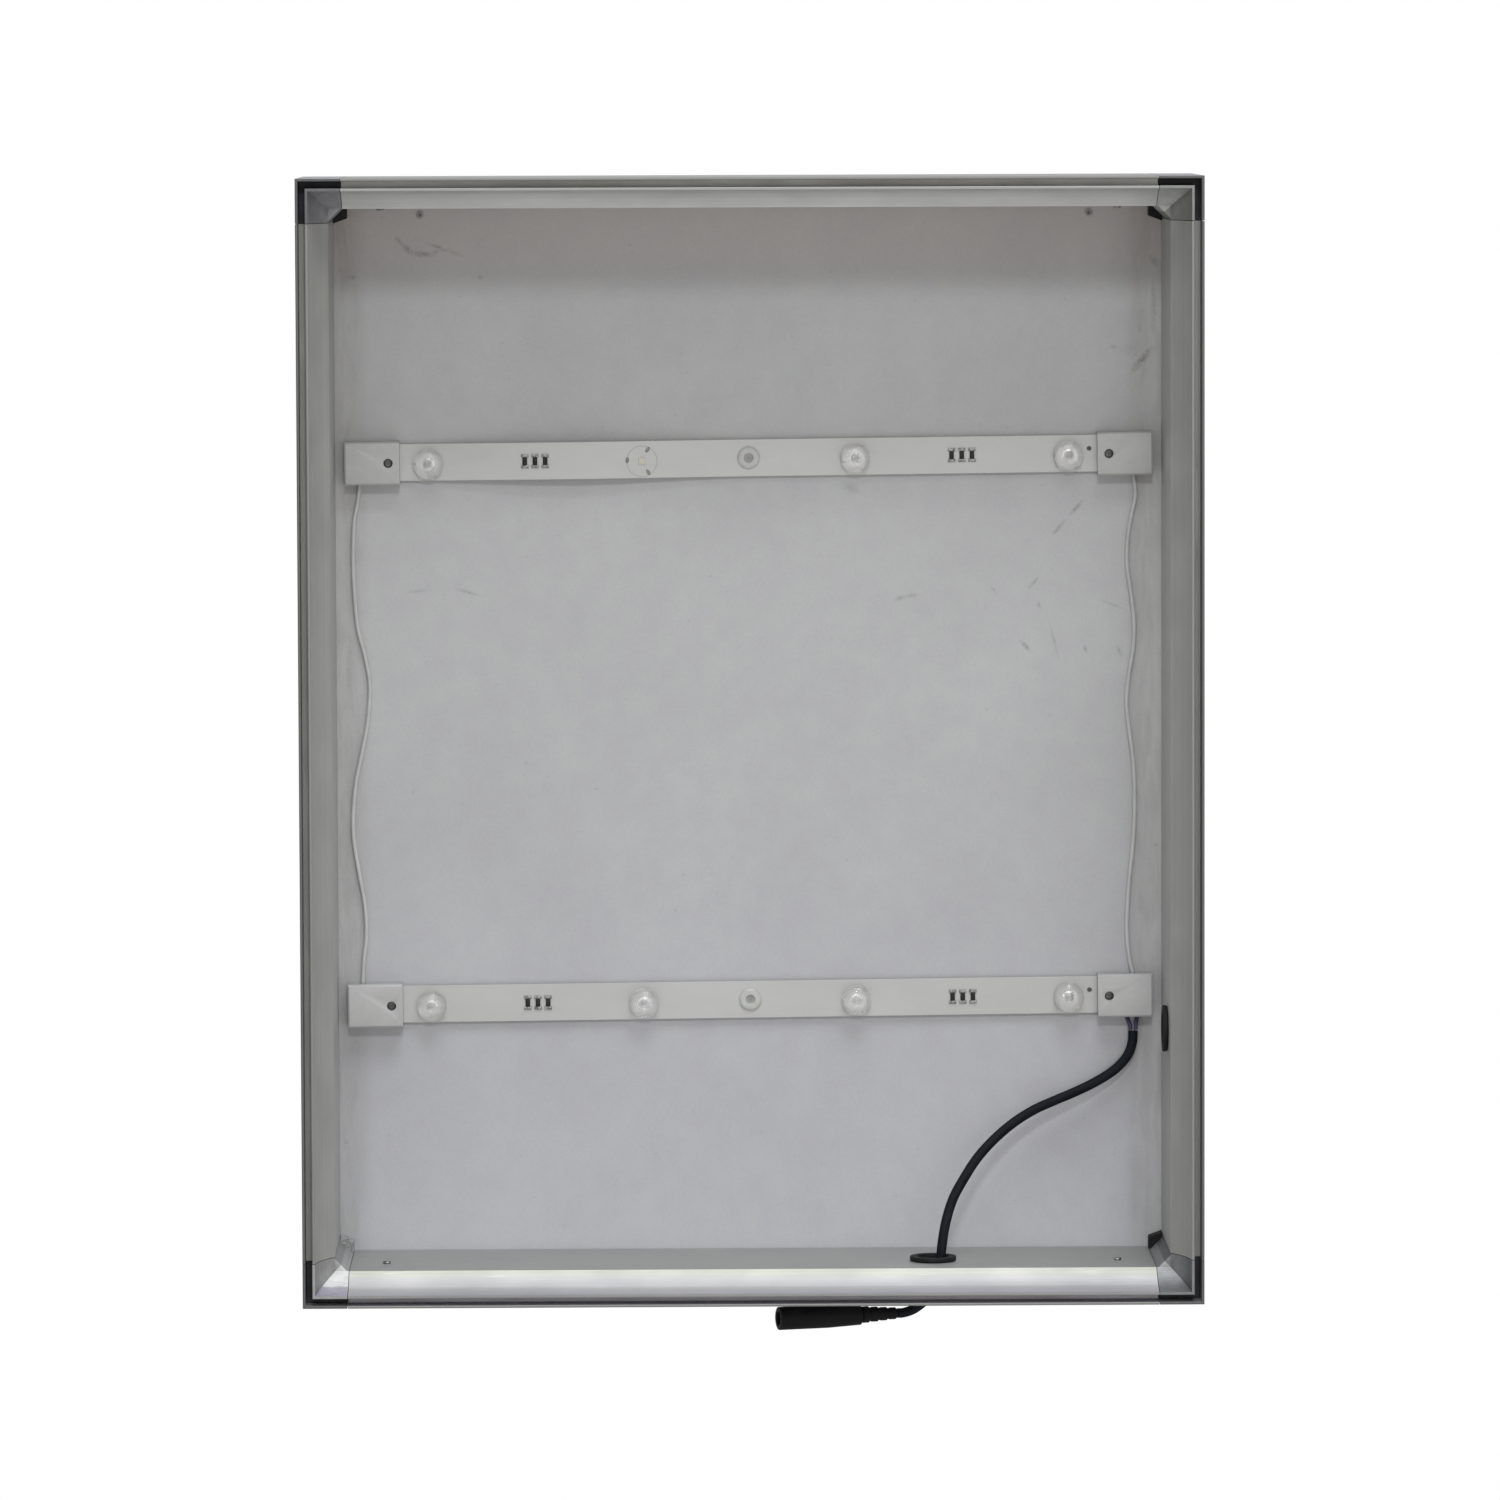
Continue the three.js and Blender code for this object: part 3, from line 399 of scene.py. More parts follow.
def connect(tree, colour=None, roughness=None, normal=None):
    """Links the given outputs to the material's shader."""
    shader = tree.nodes["Principled BSDF"]
    for socket, value in (("Base Color", colour), ("Roughness", roughness), ("Normal", normal)):
        if value is not None:
            tree.links.new(value, shader.inputs[socket])


# %% [markdown]
# ## The lead comes first
# The black lead leaves the lower right end cap as two cores, lies along the panel in a loose curve
# and dives through a rubber bush in the bottom wall. Its barrel connector lies just under the frame.
# The photograph shows it from end to end, so its length is the length of that route.

# %% [markdown]
# Soft plastic sheath isn't plain black: it shows a dull sheen, a fine grain from the extruder and
# paler places where it was handled. The pattern follows the sheath's own length, on its UV map.


# %% Black sheath, blue cores and white wire
def wire_finish(name, dark, pale, roughness, shine, blotch=9):
    """Soft plastic whose pattern follows the UV map, with blotches of wear of the given length."""
    finish, tree = new_finish(name, roughness, Specular_IOR_Level=shine)
    wear = grain(tree, (blotch, 2.5, 1), 4, uv=True)
    fine = grain(tree, (0.5, 0.12, 1), 2, uv=True)
    colour = ramp(tree, wear, (0.35, dark), (0.7, pale))
    dull = between(tree, wear, roughness - 0.08, roughness + 0.1)
    connect(tree, colour, dull, bump(tree, fine, 0.03))
    return finish


sheath_black = wire_finish("sheath_black", (0.005, 0.006, 0.008), (0.012, 0.013, 0.018), 0.6, 0.08)
core_blue = wire_finish("core_blue", (0.030, 0.028, 0.062), (0.075, 0.068, 0.125), 0.45, 0.25, 4)
wire_white = wire_finish("wire_white", (0.42, 0.42, 0.415), (0.51, 0.51, 0.505), 0.5, 0.25, 12)
print("wire finishes:", sheath_black.name, core_blue.name, wire_white.name)

# %% [markdown]
# The connector lies level under the frame and swings a little towards the viewer. The route follows
# the lead in the photograph, its distance from the panel is judged from its shadow, and its last
# stretch runs straight into the strain relief.

# %% The lead's route and its connector's axis
plug_swing = math.radians(16.5)
plug_axis = Vector((-math.cos(plug_swing), -math.sin(plug_swing), 0))
plug_start = Vector((48.3, -55, -260))
lead_radius, relief_length, plug_length = 2.2, 17, 38.6
relief_start = plug_start - plug_axis * (relief_length + fit)
lead_end = relief_start - plug_axis * fit
lead_route = [
    (173.3, -7.6, -137.6), (173.0, -7.7, -142.4), (170.9, -8.1, -148.4), (165.6, -9.1, -154.4),
    (157.4, -10.7, -159.7), (147.1, -12.9, -164.5), (137.3, -15.4, -168.3), (127.8, -18.2, -172.2),
    (118.5, -21.4, -177.6), (109.6, -25.3, -184.6), (101.9, -29.7, -192.4), (95.8, -34.5, -200.9),
    (90.4, -40.0, -209.9), (87.2, -44.1, -219.2), (85.4, -47.0, -228.4), (84.5, -48.1, -236.6),
    (83.8, -47.8, -243.1), (82.1, -47.3, -248.3), (79.4, -47.1, -252.6), (75.8, -47.4, -256.2),
    (71.8, -48.1, -258.8), tuple(lead_end - plug_axis * lead_radius), tuple(lead_end),
]
lead_line = smooth_line(lead_route, 6)
lead = tube("lead_sheath", lead_line, lead_radius, 20)
dress(lead, sheath_black, "cable_black", "power_lead")

# %% [markdown]
# The strain relief and the connector are moulded in the same black. The relief has four ribs that
# widen towards the connector, the connector a slight taper behind its straight mouth. Both are
# turned about the connector's axis, with small rounds at every edge.


# %% Strain relief, connector and pin
def bend(start, middle, end, steps):
    """Points on a smooth bend from start to end, drawn towards the middle."""
    a, b, c = Vector(start), Vector(middle), Vector(end)
    shares = [i / steps for i in range(steps + 1)]
    return [tuple(a * (1 - t) ** 2 + b * 2 * t * (1 - t) + c * t**2) for t in shares]


def rounded(points, radius, steps=4):
    """Rounds the corners of an open profile of (radius, y) points."""
    line = [points[0]]
    for before, here, after in zip(points, points[1:], points[2:]):
        a, b, c = Vector(before), Vector(here), Vector(after)
        reach = min(radius, (a - b).length * 0.45, (c - b).length * 0.45)
        line += bend(b + (a - b).normalized() * reach, b, b + (c - b).normalized() * reach, steps)
    return line + [points[-1]]


def on_plug_axis(start):
    """Carries a turned piece from the y axis to the connector's axis."""
    turn = Vector((0, 1, 0)).rotation_difference(plug_axis).to_matrix().to_4x4()
    return Matrix.Translation(start) @ turn


relief_profile = [(0, 0)]
for i in range(4):
    rib, y = 2.7 + i / 3, i * relief_length / 4
    relief_profile += [(rib - 0.6, y), (rib - 0.5, y + 0.7), (rib, y + 0.9), (rib, y + 3.6)]
relief_profile += [(3.1, relief_length), (0, relief_length)]
relief = turned("relief_ribs", rounded(relief_profile, 0.25), on_plug_axis(relief_start))
plug_radius, socket_radius, socket_floor = 5.2, 3.1, plug_length - 10
plug_profile = [
    (0, 0), (4.5, 0), (plug_radius, 15.4), (plug_radius, plug_length), (socket_radius, plug_length),
    (socket_radius, socket_floor), (0, socket_floor),
]
plug = turned("barrel_plug", rounded(plug_profile, 0.5), on_plug_axis(plug_start), 72)
pin_profile = [(0, socket_floor + fit), (1.05, socket_floor + fit), (1.05, 36.6), (0, 37)]
pin = turned("barrel_pin", rounded(pin_profile, 0.3), on_plug_axis(plug_start), 32)
for piece in (relief, plug, pin):
    shade(piece, 40)

# %% Their finishes
moulded_black, tree = new_finish("moulded_black", 0.6, Specular_IOR_Level=0.12)
sparkle, cloud = grain(tree, 0.25, 2), grain(tree, 7, 4)
colour = ramp(tree, cloud, (0.3, (0.003, 0.003, 0.004)), (0.75, (0.009, 0.009, 0.010)))
connect(tree, colour, between(tree, cloud, 0.52, 0.7), bump(tree, sparkle, 0.03))
pin_brass, tree = new_finish("pin_brass", 0.3, 1.0)
wear = grain(tree, (0.3, 0.3, 2), 4)
colour = ramp(tree, wear, (0.35, (0.35, 0.26, 0.12)), (0.7, (0.62, 0.50, 0.27)))
connect(tree, colour, between(tree, wear, 0.22, 0.42))
dress(relief, moulded_black, "cable_black", "strain_relief")
dress(plug, moulded_black, "black_plastic", "connector_body")
dress(pin, pin_brass, "pin_brass", "connector_pin")

# %% [markdown]
# The two cores fan out from the sheath into notches of the end cap.


# %% Cores
def on_board(bar, along, across):
    """A place on an LED board, along and across it, as x and z."""
    x = along * math.cos(bar_tilt) - across * math.sin(bar_tilt)
    z = along * math.sin(bar_tilt) + across * math.cos(bar_tilt)
    return x, bar * bar_spacing / 2 + z


wire_y, wire_radius, wire_end = -panel_thickness - 1.6, 0.95, cap_width / 2 - cap_wall - fit
notches_middle, notches_apart = cap_inner + 15.55, 4.7
lead_x, lead_y, lead_z = lead_route[0]
for number, side in ((1, -1), (2, 1)):
    x, z = on_board(-1, notches_middle + side * notches_apart / 2, -wire_end)
    route = [
        (x, wire_y, z), (x, wire_y - fit, z - cap_wall - fit),
        (lead_x + side * (wire_radius + fit), lead_y + fit, lead_z + lead_radius),
        (lead_x + side * (wire_radius + fit / 2), lead_y, lead_z + 2 * fit),
    ]
    core = tube("core_" + str(number), smooth_line(route, 8), wire_radius, 14)
    dress(core, core_blue, "core_blue", "lead_core_" + str(number))

# %% [markdown]
# ## Light and surroundings
# The box was lit by a broad soft light from above the viewer. A round lamp stands in front at 27
# degrees, which puts the shadow of the top profile where the photograph has it. A wide warm lamp at
# the height of the box softens that shadow, and a cool one overhead makes the lower half and the
# bottom cove brighter. The world fills the rest, and is plain white to the camera and in metal and
# glass.


# %% Lamps
def soft_lamp(name, place, size, power, tint):
    """A round lamp, in metres, that looks at the middle of the box."""
    lamp = bpy.data.lights.new(name, "AREA")
    lamp.shape, lamp.size, lamp.energy, lamp.color = "DISK", size, power, tint
    holder = bpy.data.objects.new(name, lamp)
    place, middle = Vector(place), Vector((0, -0.05, 0))
    turn = (middle - place).to_track_quat("-Z", "Y").to_matrix().to_4x4()
    holder.matrix_world = Matrix.Translation(place) @ turn
    scene.collection.objects.link(holder)


key_rise, key_away = math.radians(27), 5.0
key_place = (0.12, -key_away * math.cos(key_rise), key_away * math.sin(key_rise))
soft_lamp("key_lamp", key_place, 0.55, 50, (0.965, 0.985, 1.0))
soft_lamp("front_lamp", (0.6, -4.2, -0.5), 2.4, 48, (1.0, 0.955, 0.905))
soft_lamp("overhead_lamp", (0.4, -1.3, 3.1), 2.2, 92, (0.94, 0.965, 1.0))

world = bpy.data.worlds.new("studio")
world.use_nodes = True
scene.world = world
tree = world.node_tree
background = tree.nodes["Background"]
background.inputs["Color"].default_value = (0.36, 0.355, 0.35, 1)
shown = add(tree, "ShaderNodeBackground", {"Color": (1, 1, 1, 1), "Strength": 1.0})
rays = add(tree, "ShaderNodeLightPath").outputs
seen = maths(tree, "MAXIMUM", rays["Is Camera Ray"], rays["Is Glossy Ray"])
seen = maths(tree, "MAXIMUM", seen, rays["Is Transmission Ray"])
blend = add(tree, "ShaderNodeMixShader", {0: seen, 1: background.outputs[0], 2: shown.outputs[0]})
tree.links.new(blend.outputs[0], tree.nodes["World Output"].inputs["Surface"])

# %% [markdown]
# The box hangs on a wall, but a wall in the scene would hide its back in other views. So only a
# plain pale floor is laid, well below the box, where the photograph's view doesn't reach it.

# %% Floor
floor_level, floor_half, floor_front, floor_back = -600, 3000, -4500, 1150
corners = [(x, y, floor_level) for y in (floor_front, floor_back) for x in (-floor_half, floor_half)]
floor = new_piece("floor", corners, [(0, 1, 3, 2)])
floor_pale, tree = new_finish("floor_pale", 0.9, Specular_IOR_Level=0.1)
tone = ramp(tree, grain(tree, 160), (0.35, 0.72), (0.65, 0.75))
connect(tree, tone, None, bump(tree, grain(tree, 3, 2), 0.1))
paint(floor, floor_pale)
print("floor at", floor_level, "mm")

# %% [markdown]
# ## The extruded profiles
# The frame's four sides are lengths of one aluminium extrusion: a thin lip, the groove that grips the
# print, a thin ridge, a hollow cove, and a flat inner wall down to the panel. A pushed section is what
# Geometry Nodes' Extrude Mesh makes, so the tree needs only the section, the length and the finish.


# %% The section, drawn once
def edge_round(x, radius, first):
    """Points on a quarter round at the front, from the first angle in degrees."""
    angles = [math.radians(first + 90 * i / 5) for i in range(6)]
    return [(x + radius * math.cos(a), radius + radius * math.sin(a)) for a in angles]


cove_start, cove_end = Vector((ridge_inner, 0)), Vector((face_width, cove_depth))
slope = (cove_end - cove_start).normalized()
cove_middle = (cove_start + cove_end) / 2 + Vector((-slope.y, slope.x)) * 2 * cove_hollow
nose = (
    edge_round(ridge_outer + ridge_round, ridge_round, 180) + [(ridge_inner - chamfer, 0.0)]
    + bend(cove_start, cove_middle, cove_end, 24)
)
lip_edge = edge_round(ridge_round, ridge_round, 180) + edge_round(lip - lip_round, lip_round, 270)
outer_back = [(chamfer, depth), (0, depth - chamfer)]
profile_section = (
    lip_edge + [(lip, groove_depth), (ridge_outer, groove_depth)] + nose
    + [(face_width, rebate_floor - fine_chamfer), (face_width - fine_chamfer, rebate_floor)]
    + [(rebate_wall, rebate_floor), (rebate_wall, depth - fine_chamfer)]
    + [(rebate_wall - fine_chamfer, depth)] + outer_back
)
print("profile section:", len(profile_section), "points")


# %% Geometry Nodes tree that pushes a section out
def new_tree(name, *inputs):
    """A tree with a geometry and these inputs, its input sockets and its output node."""
    tree = bpy.data.node_groups.new(name, "GeometryNodeTree")
    tree.interface.new_socket("Geometry", in_out="INPUT", socket_type="NodeSocketGeometry")
    for label, kind in inputs:
        tree.interface.new_socket(label, in_out="INPUT", socket_type="NodeSocket" + kind)
    tree.interface.new_socket("Geometry", in_out="OUTPUT", socket_type="NodeSocketGeometry")
    return tree, tree.nodes.new("NodeGroupInput").outputs, tree.nodes.new("NodeGroupOutput")


def end_tree(tree, geometry, finish, result):
    """Makes copies real, sets the finish and joins the output."""
    real = add(tree, "GeometryNodeRealizeInstances", {"Geometry": geometry})
    painted = add(tree, "GeometryNodeSetMaterial", {"Geometry": real.outputs[0], "Material": finish})
    tree.links.new(painted.outputs[0], result.inputs[0])
    print("tree:", tree.name, len(tree.nodes), "nodes")


def run_tree(piece, tree, **inputs):
    """Runs a tree on a piece, with its inputs set by identifier, and keeps the plain mesh."""
    modifier = piece.modifiers.new("tree", "NODES")
    modifier.node_group = tree
    for item in tree.interface.items_tree:
        if item.in_out == "INPUT" and item.name in inputs:
            modifier[item.identifier] = inputs[item.name]
    return settle(piece)


push_out, given, result = new_tree("push_out", ("Length", "Float"), ("Finish", "Material"))
pushed = add(push_out, "GeometryNodeExtrudeMesh", {
    "Mesh": given["Geometry"], "Offset Scale": given["Length"], "Individual": False})
back = add(push_out, "GeometryNodeFlipFaces", {"Mesh": given["Geometry"]})
joined = add(push_out, "GeometryNodeJoinGeometry")
for part in (pushed.outputs["Mesh"], back.outputs["Mesh"]):
    push_out.links.new(part, joined.inputs["Geometry"])
welded = add(push_out, "GeometryNodeMergeByDistance", {"Geometry": joined.outputs[0], "Distance": 1e-6})
end_tree(push_out, welded.outputs[0], given["Finish"], result)

# %% [markdown]
# The tone of the bars and corners follows the section. The front faces of the lip and ridge are dark,
# the groove is darkened as painted shade, and the cove holds painted light and shade, so the level
# bars are pale towards the inner edge of the cove. So their finishes need to know how deep in the
# frame a point lies.


# %% Tones over the section
def section_place(tree):
    """How far a point lies from the outer face and the front, in metres, and if its bar is level."""
    place = object_place(tree)
    from_side = maths(tree, "SUBTRACT", width / 2 * MM, maths(tree, "ABSOLUTE", place["X"]))
    from_end = maths(tree, "SUBTRACT", height / 2 * MM, maths(tree, "ABSOLUTE", place["Z"]))
    inwards = maths(tree, "MINIMUM", from_side, from_end)
    level = maths(tree, "LESS_THAN", from_end, from_side)
    return inwards, maths(tree, "ADD", place["Y"], depth * MM), level


def span(tree, value, length, *stops):
    """A ramp over a distance, in millimetres, with its stops given in millimetres too."""
    share = maths(tree, "DIVIDE", value, length * MM)
    return ramp(tree, share, *[(where / length, tone) for where, tone in stops])


def section_tone(tree, level_stops, upright_stops, outer, groove, ridge):
    """How pale a bar is over its section: dark front faces, a groove in painted shade, and the given cove."""
    inwards, back, level = section_place(tree)
    # Painted shade: the groove is darkened as a shaded recess.
    wear_and_groove_shade = span(tree, inwards, 6, (0.5, outer), (1.0, groove), (4.4, groove), (4.5, 1.0))
    inside = span(tree, inwards, 6, (4.4, 0.0), (4.5, 1.0))
    cove = mix(tree, level, span(tree, back, 30, *upright_stops), span(tree, back, 30, *level_stops))
    tone = times(tree, wear_and_groove_shade, mix(tree, inside, (1, 1, 1), cove))
    front = span(tree, back, 6, (0.5, 1.0), (0.7, 0.0))
    return mix(tree, front, tone, span(tree, inwards, 6, (3.0, 0.26), (4.2, ridge)))


def dull_outside(tree, rough):
    """The outer faces were rubbed and wiped, so they are rough and hardly shine."""
    outside = span(tree, section_place(tree)[0], 6, (0.1, 1.0), (0.2, 0.0))
    metallic = tree.nodes["Principled BSDF"].inputs["Metallic"]
    tree.links.new(mix(tree, outside, (metallic.default_value,) * 3, (0.05, 0.05, 0.05)), metallic)
    return mix(tree, outside, rough, (0.9, 0.9, 0.9))


# %% [markdown]
# Extruded aluminium carries die lines: faint straight streaks that run the whole length of a bar. The
# noise is stretched along the bar for that, so a level bar and an upright bar each have their own
# finish. Over it lie soft clouds from anodising, and a few scuffs with less gloss.


# %% Aluminium
def aluminium_finish(name, along, shine, groove, ridge, *stops):
    """Aluminium with lines along an axis, tones on the ridge, and painted light and shade over groove and
    cove.
    """
    finish, tree = new_finish(name, 0.42, 0.35, Specular_IOR_Level=0.4)

    # The given factor scales the whole tone as painted light, so the upright bars are a darker copy.
    def shining(*tone):
        return [shine * value for value in tone]

    def streak(across, length, detail=2):
        return grain(tree, [length if axis == along else across for axis in range(3)], detail)

    outer = (0.315 / shine, 0.313 / shine, 0.322 / shine)
    lines, broad = streak(0.22, 260), streak(1.6, 900, 3)
    cloud, scuff = grain(tree, 26, 4), streak(1.1, 16, 4)
    tone = between(tree, cloud, shining(0.93, 0.94, 0.905), shining(1.07, 1.07, 1.03))
    tone = times(tree, tone, between(tree, broad, 0.70, 1.05), 0.30)
    tone = times(tree, tone, ramp(tree, lines, (0.35, 0.68), (0.65, 1.1)), 0.22)
    wear_and_groove_shade = ramp(tree, scuff, (0.62, 0.0), (0.74, 1.0))
    tone = mix(tree, wear_and_groove_shade, tone, shining(1.1, 1.1, 1.06))
    tone = times(tree, tone, section_tone(tree, stops, stops, outer, groove, ridge))
    rough = mix(tree, wear_and_groove_shade, between(tree, cloud, 0.36, 0.48), (0.62, 0.62, 0.62))
    relief = bump(tree, lines, 0.02, 0.6, bump(tree, broad, 0.03, 0.5))
    connect(tree, tone, dull_outside(tree, rough), relief)
    return finish


# The cove stops are painted light and shade. The level bars grow paler towards the inner edge of the cove,
# the bottom bar takes cream and lavender tints of painted reflection, and the inner wall is darker on the
# level bars.
aluminium_top = aluminium_finish(
    "aluminium_top", 0, 0.70, 0.45, 0.34,
    (0.6, 0.55), (6, 0.68), (10, 0.80), (18, 0.95), (24.2, 0.98), (24.8, 0.52))
aluminium_bottom = aluminium_finish(
    "aluminium_bottom", 0, 0.70, (0.43, 0.42, 0.48), 0.34,
    (0.6, (0.53, 0.52, 0.60)), (6, (0.63, 0.62, 0.67)), (8.5, (0.69, 0.685, 0.725)),
    (10.5, (0.78, 0.775, 0.81)), (12.5, (0.92, 0.91, 0.945)), (16, (1.03, 1.02, 1.07)),
    (18.5, (1.06, 1.055, 1.07)), (21, (1.08, 1.085, 1.02)), (24.2, (1.0, 1.01, 0.93)),
    (24.8, (0.46, 0.465, 0.465)))
aluminium_upright = aluminium_finish(
    "aluminium_upright", 2, 0.38, 0.64, 0.50,
    (0.6, (0.95, 0.945, 0.93)), (24.2, (1.0, 0.995, 0.98)), (24.8, 1.08))
print("aluminium:", aluminium_top.name, aluminium_bottom.name, aluminium_upright.name)


# %% Four sides of the frame
def side_place(x, z, turn):
    """From a drawing of the bottom side (x along, y from the front, z inwards) to a real side."""
    return Matrix.Translation((x, -depth, z)) @ Matrix.Rotation(turn, 4, "Y")


quarter = math.pi / 2
sides = {
    "bottom": (side_place(0, -height / 2, 0), width / 2, aluminium_bottom),
    "right": (side_place(width / 2, 0, -quarter), height / 2, aluminium_upright),
    "top": (side_place(0, height / 2, 2 * quarter), width / 2, aluminium_top),
    "left": (side_place(-width / 2, 0, quarter), height / 2, aluminium_upright),
}
lay_down = Matrix(((0, 0, -1, 0), (0, 1, 0, 0), (1, 0, 0, 0), (0, 0, 0, 1)))
bush_hole, bush_back, bush_x, bush_z = 8.7, 50, 81.1, -132
bush_sides = {
    "bottom": ((bush_x, -bush_back, -height / 2 - 10), (bush_x, -bush_back, -height / 2 + 20)),
    "right": ((width / 2 + 10, -bush_back, bush_z), (width / 2 - 20, -bush_back, bush_z)),
}
for name, (where, half, finish) in sides.items():
    length = 2 * (half - corner_leg)
    section = [(u, v, -length / 2) for u, v in profile_section]
    bar = new_piece("bar_" + name, section, [tuple(range(len(section)))])
    if bar.data.polygons[0].normal.z < 0:
        bar.data.flip_normals()
    run_tree(bar, push_out, Length=length * MM, Finish=finish)
    place(bar, where @ lay_down)
    if name in bush_sides:
        cut_round(bar, bush_hole, *bush_sides[name])
    dress(shade(bar, 24), finish, "aluminium", "profile_" + name)

# %% [markdown]
# ## The moulded corners
# Each corner is closed by a thin outer shell and a grey cover that carries the ridge and the cove
# round the mitre. A section swept along both legs, with its middle ring on the diagonal, gives a
# sharp mitre without any cutting.


# %% Corners, swept with a mitre
def mitred(name, section, end):
    """Sweeps a section along both legs of a corner. Its UV map holds metres along and round it."""
    points = [(end, v, u) for u, v in section]
    points += [(u, v, u) for u, v in section] + [(u, v, end) for u, v in section]
    closed, around = section + section[:1], [0]
    for (u0, v0), (u1, v1) in zip(closed, closed[1:]):
        around.append(around[-1] + math.hypot(u1 - u0, v1 - v0) * MM)
    reach = [(end - u) * MM for u, v in closed]
    uvs = []
    for leg in range(2):
        for i in range(len(section)):
            square = [(0, around[i]), (0, around[i + 1])]
            slanted = [(reach[i], around[i]), (reach[i + 1], around[i + 1])]
            first, last = (square, slanted) if leg == 0 else (slanted, square)
            uvs.append([*first, last[1], last[0]])
    uvs += [[(u * MM, v * MM) for u, v in section]] * 2
    return face_outwards(new_piece(name, points, ring_faces(3, len(section)), uvs))


corner_places = {
    "bottom_left": side_place(-width / 2, -height / 2, 0),
    "bottom_right": side_place(width / 2, -height / 2, -quarter),
    "top_right": side_place(width / 2, height / 2, 2 * quarter),
    "top_left": side_place(-width / 2, height / 2, quarter),
}
corner_end = corner_leg - fit
shell_section = lip_edge + [(lip, depth - chamfer), (lip - chamfer, depth)] + outer_back
inner = face_width - cover_skin
cover_section = nose + [
    (face_width, cover_depth - chamfer), (face_width - chamfer, cover_depth), (inner, cover_depth),
    (inner, cover_nose), (ridge_outer, cover_nose),
]
print("corner sections:", len(shell_section), len(cover_section), "points")


# %% [markdown]
# The moulded pieces are painted to match the bars. Each cover has its own tone, partly its paint and
# partly painted light, and its legs hold painted light and shade over the section as the bars do. Their
# paint shows brush-like streaks along each leg and slightly darker patches, laid out on the UV map that
# follows the leg, and a dull orange peel.


# %% Painted corner finish
def painted_finish(name, tone, roughness, level_stops, upright_stops):
    """Paint of a tone, with painted light and shade over the section on the level and the upright leg."""
    finish, tree = new_finish(name, roughness, 0.2, Specular_IOR_Level=0.4)
    strokes, patch = grain(tree, (9, 0.45, 1), 4, uv=True), grain(tree, (5, 4, 1), 4, uv=True)
    peel = grain(tree, 0.35, 2)
    dark, pale = [value * 0.86 for value in tone], [value * 1.14 for value in tone]
    coat = ramp(tree, patch, (0.3, dark), (0.72, pale))
    coat = times(tree, coat, ramp(tree, strokes, (0.35, 0.58), (0.65, 1.15)), 0.45)
    coat = times(tree, coat, section_tone(tree, level_stops, upright_stops, 0.93, 0.6, 0.42))
    rough = between(tree, strokes, roughness - 0.1, roughness + 0.12)
    relief = bump(tree, strokes, 0.03, 0.6, bump(tree, peel, 0.02, 0.5))
    connect(tree, coat, dull_outside(tree, rough), relief)
    return finish


# Each base tone is partly paint and partly painted light. The stops add painted light and shade, with the
# upright legs darker than the level ones.
cover_paint_and_light = {
    "bottom_left": painted_finish(
        "cover_silver", (0.74, 0.74, 0.73), 0.5,
        ((0.6, (0.44, 0.42, 0.50)), (6, (0.50, 0.48, 0.58)), (11.5, (0.56, 0.54, 0.62)),
         (13.5, 0.98), (20, 0.99), (24.2, 0.93), (24.8, 0.46)),
        ((0.6, 0.26), (10, 0.36), (20, 0.42), (24.2, 0.42), (24.8, 0.32))),
    "bottom_right": painted_finish(
        "cover_steel", (0.445, 0.455, 0.465), 0.5,
        ((0.6, 0.32), (6, 0.36), (9, 0.42), (12, 0.58), (16, 0.83), (20, 1.05), (24.2, 1.05),
         (24.8, 0.45)),
        ((0.6, 0.24), (7, 0.24), (12, 0.36), (18, 0.46), (24.2, 0.48), (24.8, 0.22))),
    "top_right": painted_finish(
        "cover_green_grey", (0.48, 0.49, 0.465), 0.5,
        ((0.6, 0.58), (10, 0.84), (20, 1.0), (24.2, 1.0), (24.8, 0.75)),
        ((0.6, 0.34), (10, 0.42), (20, 0.48), (24.2, 0.48), (24.8, 0.34))),
    "top_left": painted_finish(
        "cover_grey", (0.268, 0.264, 0.278), 0.5,
        ((0.6, 0.78), (12, 0.95), (24.2, 1.02), (24.8, 0.9)),
        ((0.6, 0.56), (12, 0.78), (24.2, 0.92), (24.8, 0.86))),
}
even = ((0.6, 1.0), (30, 1.0))
shell_grey = painted_finish("shell_grey", (0.34, 0.34, 0.35), 0.48, even, even)
print("corner paints:", len(cover_paint_and_light), "for the covers and", shell_grey.name)

# %% [markdown]
# The inner corner of each cover is filled by a small slanted facet, a block that is joined to it.

# %% Four shells and four covers
facet_end = face_width + facet_leg
facet_plan = [
    (inner, inner), (facet_end, inner), (facet_end, face_width), (face_width, facet_end), (inner, facet_end),
]
facet_points = [(x, y, z) for y in (cove_depth + 0.4, cover_depth) for x, z in facet_plan]
for name, where in corner_places.items():
    shell = mitred("shell_" + name, shell_section, corner_end)
    dress(shade(place(shell, where), 24), shell_grey, "shell_grey", "corner_shell_" + name)
    cover = mitred("cover_" + name, cover_section, corner_end)
    facet = soften(face_outwards(new_piece("facet", facet_points, ring_faces(2, len(facet_plan)))))
    with bpy.context.temp_override(active_object=cover, selected_editable_objects=[cover, facet]):
        bpy.ops.object.join()
    dress(shade(place(cover, where), 24), cover_paint_and_light[name], "cover_grey", "corner_cover_" + name)

# %% [markdown]
# Behind the covers is the black core: it shows as the floor of the groove in the corner and as a
# wedge behind the inner corner. Its CAD solid already has that shape, so it only gets its finish. The
# wedge at the lower left is scraped and smeared with grey, as in the photograph.

